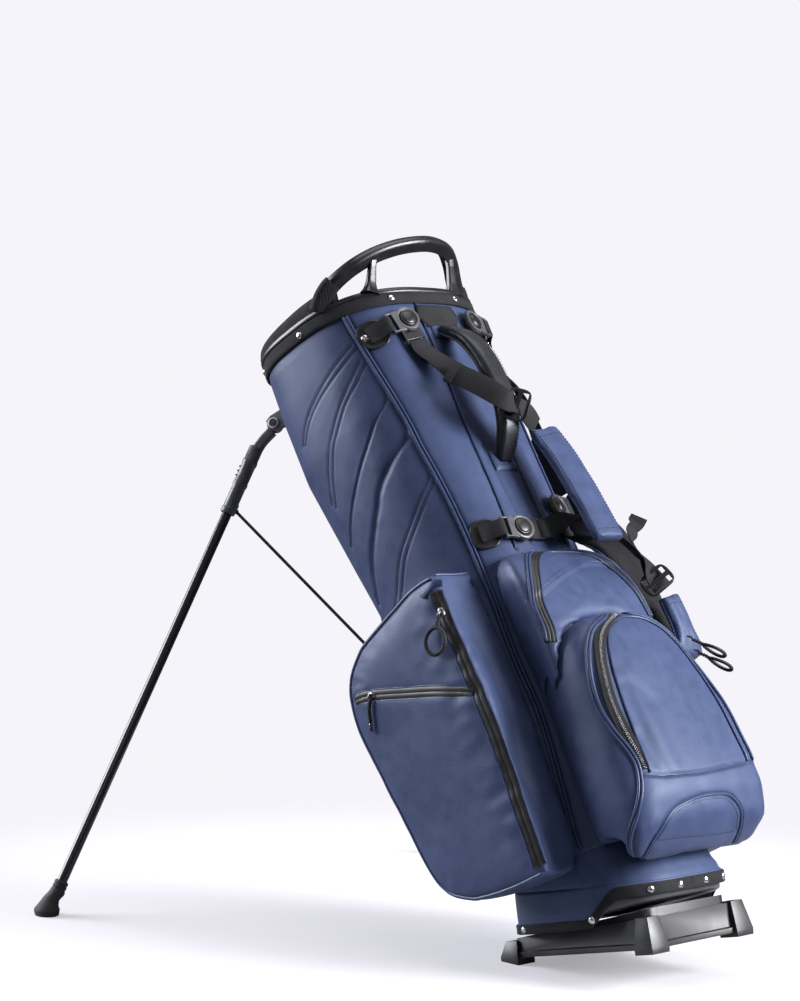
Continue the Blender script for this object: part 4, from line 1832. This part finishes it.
for t in (22.0, 28.0, 34.0):  # moulded ribs on the outer face
    centre = tube_top + tube_dir * t + tube_out * 6.4
    socket.append(block(centre, tube_dir * 1.1, hinge * 4.6, tube_out * 3.2))

# the shoe: (distance from the foot along the tube, radius), then
# (share of level ring, height over the floor, x radius, y radius)
SHOE_NECK = ((-45, 6.6), (-45.5, 7.6), (-44, 8.6), (-42, 8.9), (-41, 8.3), (-39.5, 8.3),
             (-38.5, 9.0), (-37, 9.0), (-36, 8.4), (-34.5, 8.4), (-33.5, 9.2), (-30, 9.4))
SHOE_SOLE = ((0.45, 19, 10.6, 10.0), (0.8, 12, 13.6, 12.4), (1, 8, 17.0, 15.0),
             (1, 5, 17.0, 15.0), (1, 4, 16.2, 14.3), (1, 3, 16.6, 14.6), (1, 0.8, 15.8, 13.8),
             (1, 0.1, 14.6, 12.6), (1, 0.1, 0.3, 0.3))


def shoe_rings():
    """Rings square to the tube that turn level towards the floor."""
    origin = scene_to_bag(np.zeros(3))
    floor_x = unit(scene_to_bag(np.array([1.0, 0, 0])) - origin)
    floor_z = unit(scene_to_bag(np.array([0, 0, 1.0])) - origin)
    floor_y = np.array([0, 1.0, 0])
    tube_foot = tube_top + tube_dir * np.linalg.norm(pivot + leg_dir * LEG - tube_top)
    a = np.arange(36) / 36 * 2 * np.pi
    X = unit(floor_x - tube_dir * np.dot(floor_x, tube_dir))
    Y = np.cross(tube_dir, X)
    Y = Y if Y[1] > 0 else -Y

    def ring(c, x, y, rx, ry):
        return c + x * (np.cos(a) * rx)[:, None] + y * (np.sin(a) * ry)[:, None]

    out = [ring(tube_foot + tube_dir * t, X, Y, r, r) for t, r in SHOE_NECK]
    for k, z, rx, ry in SHOE_SOLE:
        level = ring(foot + floor_z * z, floor_x, floor_y, rx, ry)
        if k < 1:
            tilted = ring(tube_foot + tube_dir * (-30 + 14 * k), X, Y, rx, ry)
            level = tilted * (1 - k) + level * k
        out.append(level)
    return np.stack(out)


shoe = [rings(shoe_rings(), caps=False)]
pole = [along(tube_top, tube_dir, [(13, 0), (13, 6.0), (13.4, 6.25), (tube_len, 6.25),
                                   (tube_len + 0.4, 5.8), (tube_len + 0.5, 0)])]
bolts = []
for side in (-1, 1):
    out = hinge * side
    place = (pivot + hinge * (side * 9.0), leg_dir, np.cross(out, leg_dir), out)
    bolts.append(lathe(BOLT, 24, place))
    bolts.append(with_material(lathe(WASHER, 24, place), 1))
bolts.append(along(pivot - hinge * 9.2, hinge, [(0, 0), (0, 3.3), (18.4, 3.3), (18.4, 0)]))
rod = [along(rod_start, rod_dir, [
    (2.6, 0), (2.6, 2.4), (3.2, 3.1), (11.4, 3.1), (12.2, 2.4), (12.4, 2.0), (rod_len - 6, 2.0),
    (rod_len - 5, 3.2), (rod_len - 1, 3.2), (rod_len, 2.4), (rod_len + 0.2, 0)])]
for tag, sided in EACH_SIDE:
    leg = "leg_" + tag
    build("leg_socket_" + tag, sided(socket), [GREY], leg, "leg_sleeve_" + tag,
          auto=38)
    build("leg_pole_" + tag, sided(pole), [TUBE], leg, "leg_tube_" + tag, auto=38)
    build("leg_shoe_" + tag, sided(shoe), [RUBBER], leg, "leg_foot_" + tag, auto=50)
    build("hinge_bolt_" + tag, sided(bolts), [GREY, PALE], "bag", "leg_pin_" + tag,
          auto=50)
    build("rod_wire_" + tag, sided(rod), [TUBE], "rod_" + tag, "push_rod_" + tag,
          auto=40)
refined("rod_guide", "rod_channel", PLASTIC, "bag", width=1.2, segments=3)
refined("rod_carriage", "rod_shoe", PLASTIC, "rod_carriage", width=0.8)

# ------------------------------------------------------------------ base
refined("base_plate", "foot_plate", SOFTPLASTIC, "base", width=1.3, segments=3,
        angle=24, dissolve=1.5, auto=34)
BOOT_X, BOOT_HALF_X, BOOT_HALF_Y = 104, 110, 100  # centre and half sizes, base frame
BOOT_TOP = 77.9


def boot_xy(off, n=240):
    a = np.arange(20000) / 20000 * 2 * np.pi
    c, s = np.cos(a), np.sin(a)
    x = BOOT_X + (BOOT_HALF_X + off) * np.sign(c) * np.abs(c) ** (2 / 3)
    y = (BOOT_HALF_Y + off) * np.sign(s) * np.abs(s) ** (2 / 3)
    run = flat_run(x, y)
    t = np.linspace(0, run[-1], n, endpoint=False)
    return np.interp(t, run, x), np.interp(t, run, y)


def band_rise(x, x0, z0, z1, before):
    """A height that rises from z0 to z1 between x0 and 186."""
    eased = (1 - np.cos((np.clip(x, x0, 186) - x0) / (186 - x0) * np.pi)) / 2
    return np.where(x < x0, before, np.where(x > 186, z1, z0 + (z1 - z0) * eased))


def band_low(x):
    return band_rise(x, 140, 33.3, 62.0, 30.5 + 0.02 * x)


def band_high(x):
    return band_rise(x, 136, 43.4, 76.0, 42 + 0.01 * x)


def band_z(k):
    return lambda x: band_low(x) * (1 - k) + band_high(x) * k


def boot_loop(off, z, n=240):
    x, y = boot_xy(off, n)
    return np.stack([x, y, z(x) if callable(z) else np.full(len(x), float(z))], 1)


# (share of the height, offset)
BOOT_SKIN = ((0, -0.2), (0.08, 0.0), (0.3, 0.35), (0.55, 0.45), (0.8, 0.3), (0.93, 0.1),
             (1.0, -0.5), (1.0, -2.4), (0.5, -2.6), (0.0, -2.6))
BOOT_BAND = ((0, 0.6), (0, 1.6), (0.05, 2.3), (0.12, 2.6), (0.88, 2.6), (0.95, 2.3), (1, 1.6),
             (1, 0.6))
loops = []
for k, off in BOOT_SKIN:
    loop = boot_loop(off, lambda x: (band_low(x) + 3.2) * (1 - k) + BOOT_TOP * k)
    if off > -0.1 and 0 < k < 0.95:
        puff = 0.4 * noise_at(loop, 0.011, 3.7)
        loop[:, :2] += unit(loop[:, :2] - [BOOT_X, 0]) * puff[:, None]
    loops.append(loop)
build("boot_skin", [hoop(loops)], [LEATHER], "base", "boot_leather",
      base_to_scene)
build("boot_band", [hoop([boot_loop(off, band_z(k)) for k, off in BOOT_BAND])], [BINDING],
      "base", "boot_binding", base_to_scene)
threads = []
for k in (0.16, 0.84):
    row = boot_loop(2.7, band_z(k), 400)
    row = np.vstack([row, row[:1]])
    threads.append(stitches(row, unit(row * [1, 1, 0] - [BOOT_X, 0, 0]), 0.33, gap=1.5))
build("boot_stitches", threads, [BLACKTHREAD], "base", to_scene=base_to_scene)


def floor_plus(rise):
    """The cup's sloping floor, raised."""
    return lambda x: np.maximum(30 + 0.062 * x, 30.5 + np.maximum(x - 40, 0) * 0.152) + rise


cup = ((-9, floor_plus(0)), (-6, floor_plus(0.6)), (-4, floor_plus(1.8)), (-3.4, floor_plus(4)),
       (-3.4, 74), (-3.6, 76), (-4.4, 76.8), (-6, 76.8), (-6.9, 76), (-7.2, 74),
       (-9.5, floor_plus(8)), (-14, floor_plus(4.4)), (-60, floor_plus(4)), (-60, floor_plus(1)))
build("cup_skin", [hoop([boot_loop(off, z) for off, z in cup])], [GREY], "base",
      "bottom_cup", base_to_scene, auto=50)

# rivets on the boot's binding: two on each side, four across its high end
band_x, band_y = boot_xy(2.7, 720)
slope_x, slope_y = np.gradient(band_x), np.gradient(band_y)


def boot_rivet(i, z):
    return dome(np.array([band_x[i], band_y[i], z]), np.array([slope_y[i], -slope_x[i], 0]), 4.4)


rivets = []
for side in (-1, 1):
    for x in (40.0, 150.0):
        i = int(np.argmin(np.abs(band_x - x) + (np.sign(band_y) != side) * 1e3))
        rivets.append(boot_rivet(i, float((band_low(band_x[i]) + band_high(band_x[i])) / 2)))
for y in (-62.0, -22.0, 22.0, 62.0):
    i = int(np.argmin(np.abs(band_y - y) + (band_x < BOOT_X) * 1e3))
    rivets.append(boot_rivet(i, 69.0))
build("boot_rivets", rivets, [STEEL], "base", to_scene=base_to_scene)

# The soft gusset stretches between the shell's edge and the boot's top.
# (share of the way down, offset from the wall)
GUSSET = ((-0.25, -2.0), (0, -0.6), (0.15, 0.6), (0.35, -0.5), (0.5, 0.9), (0.68, -0.6),
          (0.85, 0.5), (1.0, -0.5), (1.12, -1.6), (1.12, -3.6), (0.5, -3.4), (-0.2, -3.6))
angles = even_angles(240, 40)
u, v = wall(angles, np.full(240, 40.0), -1)
w = bottom_w(u) - 0.4
for _ in range(3):
    u, v = wall(angles, w, -0.8)
    w = bottom_w(u) - 0.4
shell_edge = np.stack([u, v, w], 1)
boot_edge = scene_to_bag(base_to_scene(boot_loop(-1.0, BOOT_TOP, 2400)))
boot_angles = np.arctan2(boot_edge[:, 1], boot_edge[:, 0])
edge_angles = np.arctan2(shell_edge[:, 1], shell_edge[:, 0])
boot_edge = boot_edge[[int(np.argmin(np.abs(np.angle(np.exp(1j * (boot_angles - a))))))
                       for a in edge_angles]]
n = wall_normal(u, v, w)
folds = np.stack([shell_edge * (1 - k) + boot_edge * k + n * off for k, off in GUSSET], 1)
gusset = build("gusset_skin", [(folds.reshape(-1, 3), grid_faces(240, 12, True, True))],
               [LEATHER], None, "flex_gusset")
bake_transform(gusset, "bag", "base", start=tuple(bag_to_scene(shell_edge.mean(0))),
         end=tuple(bag_to_scene(boot_edge.mean(0))))


# ------------------------------------------------------------------ floor and world
def paper():
    """Pale paper that fades into the backdrop away from the bag, lit up for the camera."""
    s = Surface("studio_paper")
    position = s.node("NewGeometry").outputs["Position"]
    distance = s.node("VectorMath", operation="LENGTH")
    s.fill(distance, {0: position})
    fade = s.node("MapRange", {"From Min": 0.32, "From Max": 1.0,
                               "Value": distance.outputs["Value"]},
                  interpolation_type="SMOOTHSTEP")
    clear = s.node("BsdfTransparent")
    faded = s.node("MixShader", {0: fade.outputs[0], 1: s.bsdf.outputs[0], 2: clear.outputs[0]})
    seen = s.node("LightPath").outputs["Is Camera Ray"]
    s.principled(Roughness=0.7, Emission_Color=(0.95, 0.94, 1.0, 1),
                 Emission_Strength=s.math("MULTIPLY", seen, 0.38),
                 Base_Color=s.mix(seen, (0.34, 0.34, 0.36), (0.47, 0.462, 0.482)))
    s.fill(s.output, {0: faded.outputs[0]})
    return s.material


floor_mesh = bpy.data.meshes.new("studio_floor")
floor_mesh.from_pydata([(-9, -9, 0), (9, -9, 0), (9, 9, 0), (-9, 9, 0)], [], [(0, 1, 2, 3)])
floor_mesh.materials.append(paper())
floor = bpy.data.objects.new("studio_floor", floor_mesh)
scene.collection.objects.link(floor)

if scene.world is None:
    scene.world = bpy.data.worlds.new("studio")
sky = Shader(scene.world)
sky_output = sky.node("OutputWorld")
backdrop = sky.node("Background", {0: (0.92, 0.905, 0.955, 1), 1: 1.0})
# what lights the bag: pale above, darker towards the floor
height = sky.node("SeparateXYZ", {0: sky.coords("Generated")}).outputs["Z"]
strength = sky.ramp(height, (-0.3, 1.0), (0.09, 0.24))
light = sky.node("Background", {0: (0.95, 0.94, 1.0, 1), 1: strength})
seen = sky.node("LightPath").outputs["Is Camera Ray"]
both_skies = sky.node("MixShader", {0: seen, 1: light.outputs[0], 2: backdrop.outputs[0]})
sky.fill(sky_output, {0: both_skies.outputs[0]})
scene.view_settings.view_transform = "Standard"
scene.view_settings.look = "None"


# ------------------------------------------------------------------ lights and camera
def area(name, location, target, size, power, colour=(1, 1, 1)):
    """A rectangular light; metres and watts."""
    data = bpy.data.lights.new(name, "AREA")
    data.shape = "RECTANGLE"
    data.size, data.size_y = size
    data.energy = power
    data.color = colour
    ob = bpy.data.objects.new(name, data)
    ob.location = location
    aim = Vector(target) - Vector(location)
    ob.rotation_euler = aim.to_track_quat("-Z", "Y").to_euler()
    scene.collection.objects.link(ob)


area("left_box", location=(-2.9, -1.75, 1.6), target=(-0.05, 0, 0.5), size=(2.4, 2.4), power=215,
     colour=(0.92, 0.94, 1))
area("right_box", location=(3.0, 1.6, 1.7), target=(0.1, 0, 0.4), size=(1.7, 1.8), power=330,
     colour=(0.99, 0.99, 1))
area("front_fill", location=(1.6, -3.4, 2.2), target=(0, 0, 0.4), size=(1.6, 1.2), power=5)
area("top", location=(0.2, 0.3, 3.3), target=(0, 0, 0.2), size=(2.2, 2.2), power=40)

CAMERA_AT = (2.19552, -2.21615, 0.65832)
HEADING, PITCH, ROLL = math.radians(46.19), math.radians(2.57), math.radians(1.11)
forward = np.array([-math.sin(HEADING) * math.cos(PITCH), math.cos(HEADING) * math.cos(PITCH),
                    -math.sin(PITCH)])
level = np.array([math.cos(HEADING), math.sin(HEADING), 0])
upright = np.cross(level, forward)
right = math.cos(ROLL) * level + math.sin(ROLL) * upright
up = -math.sin(ROLL) * level + math.cos(ROLL) * upright
camera_data = bpy.data.cameras.new("camera")
camera_data.lens = 93.27
camera_data.sensor_width = 36
camera_data.clip_end = 60
camera = bpy.data.objects.new("camera", camera_data)
scene.collection.objects.link(camera)
pose = np.eye(4)
pose[:3] = np.stack([right, up, -forward, CAMERA_AT], 1)
camera.matrix_world = Matrix(pose.tolist())
scene.camera = camera
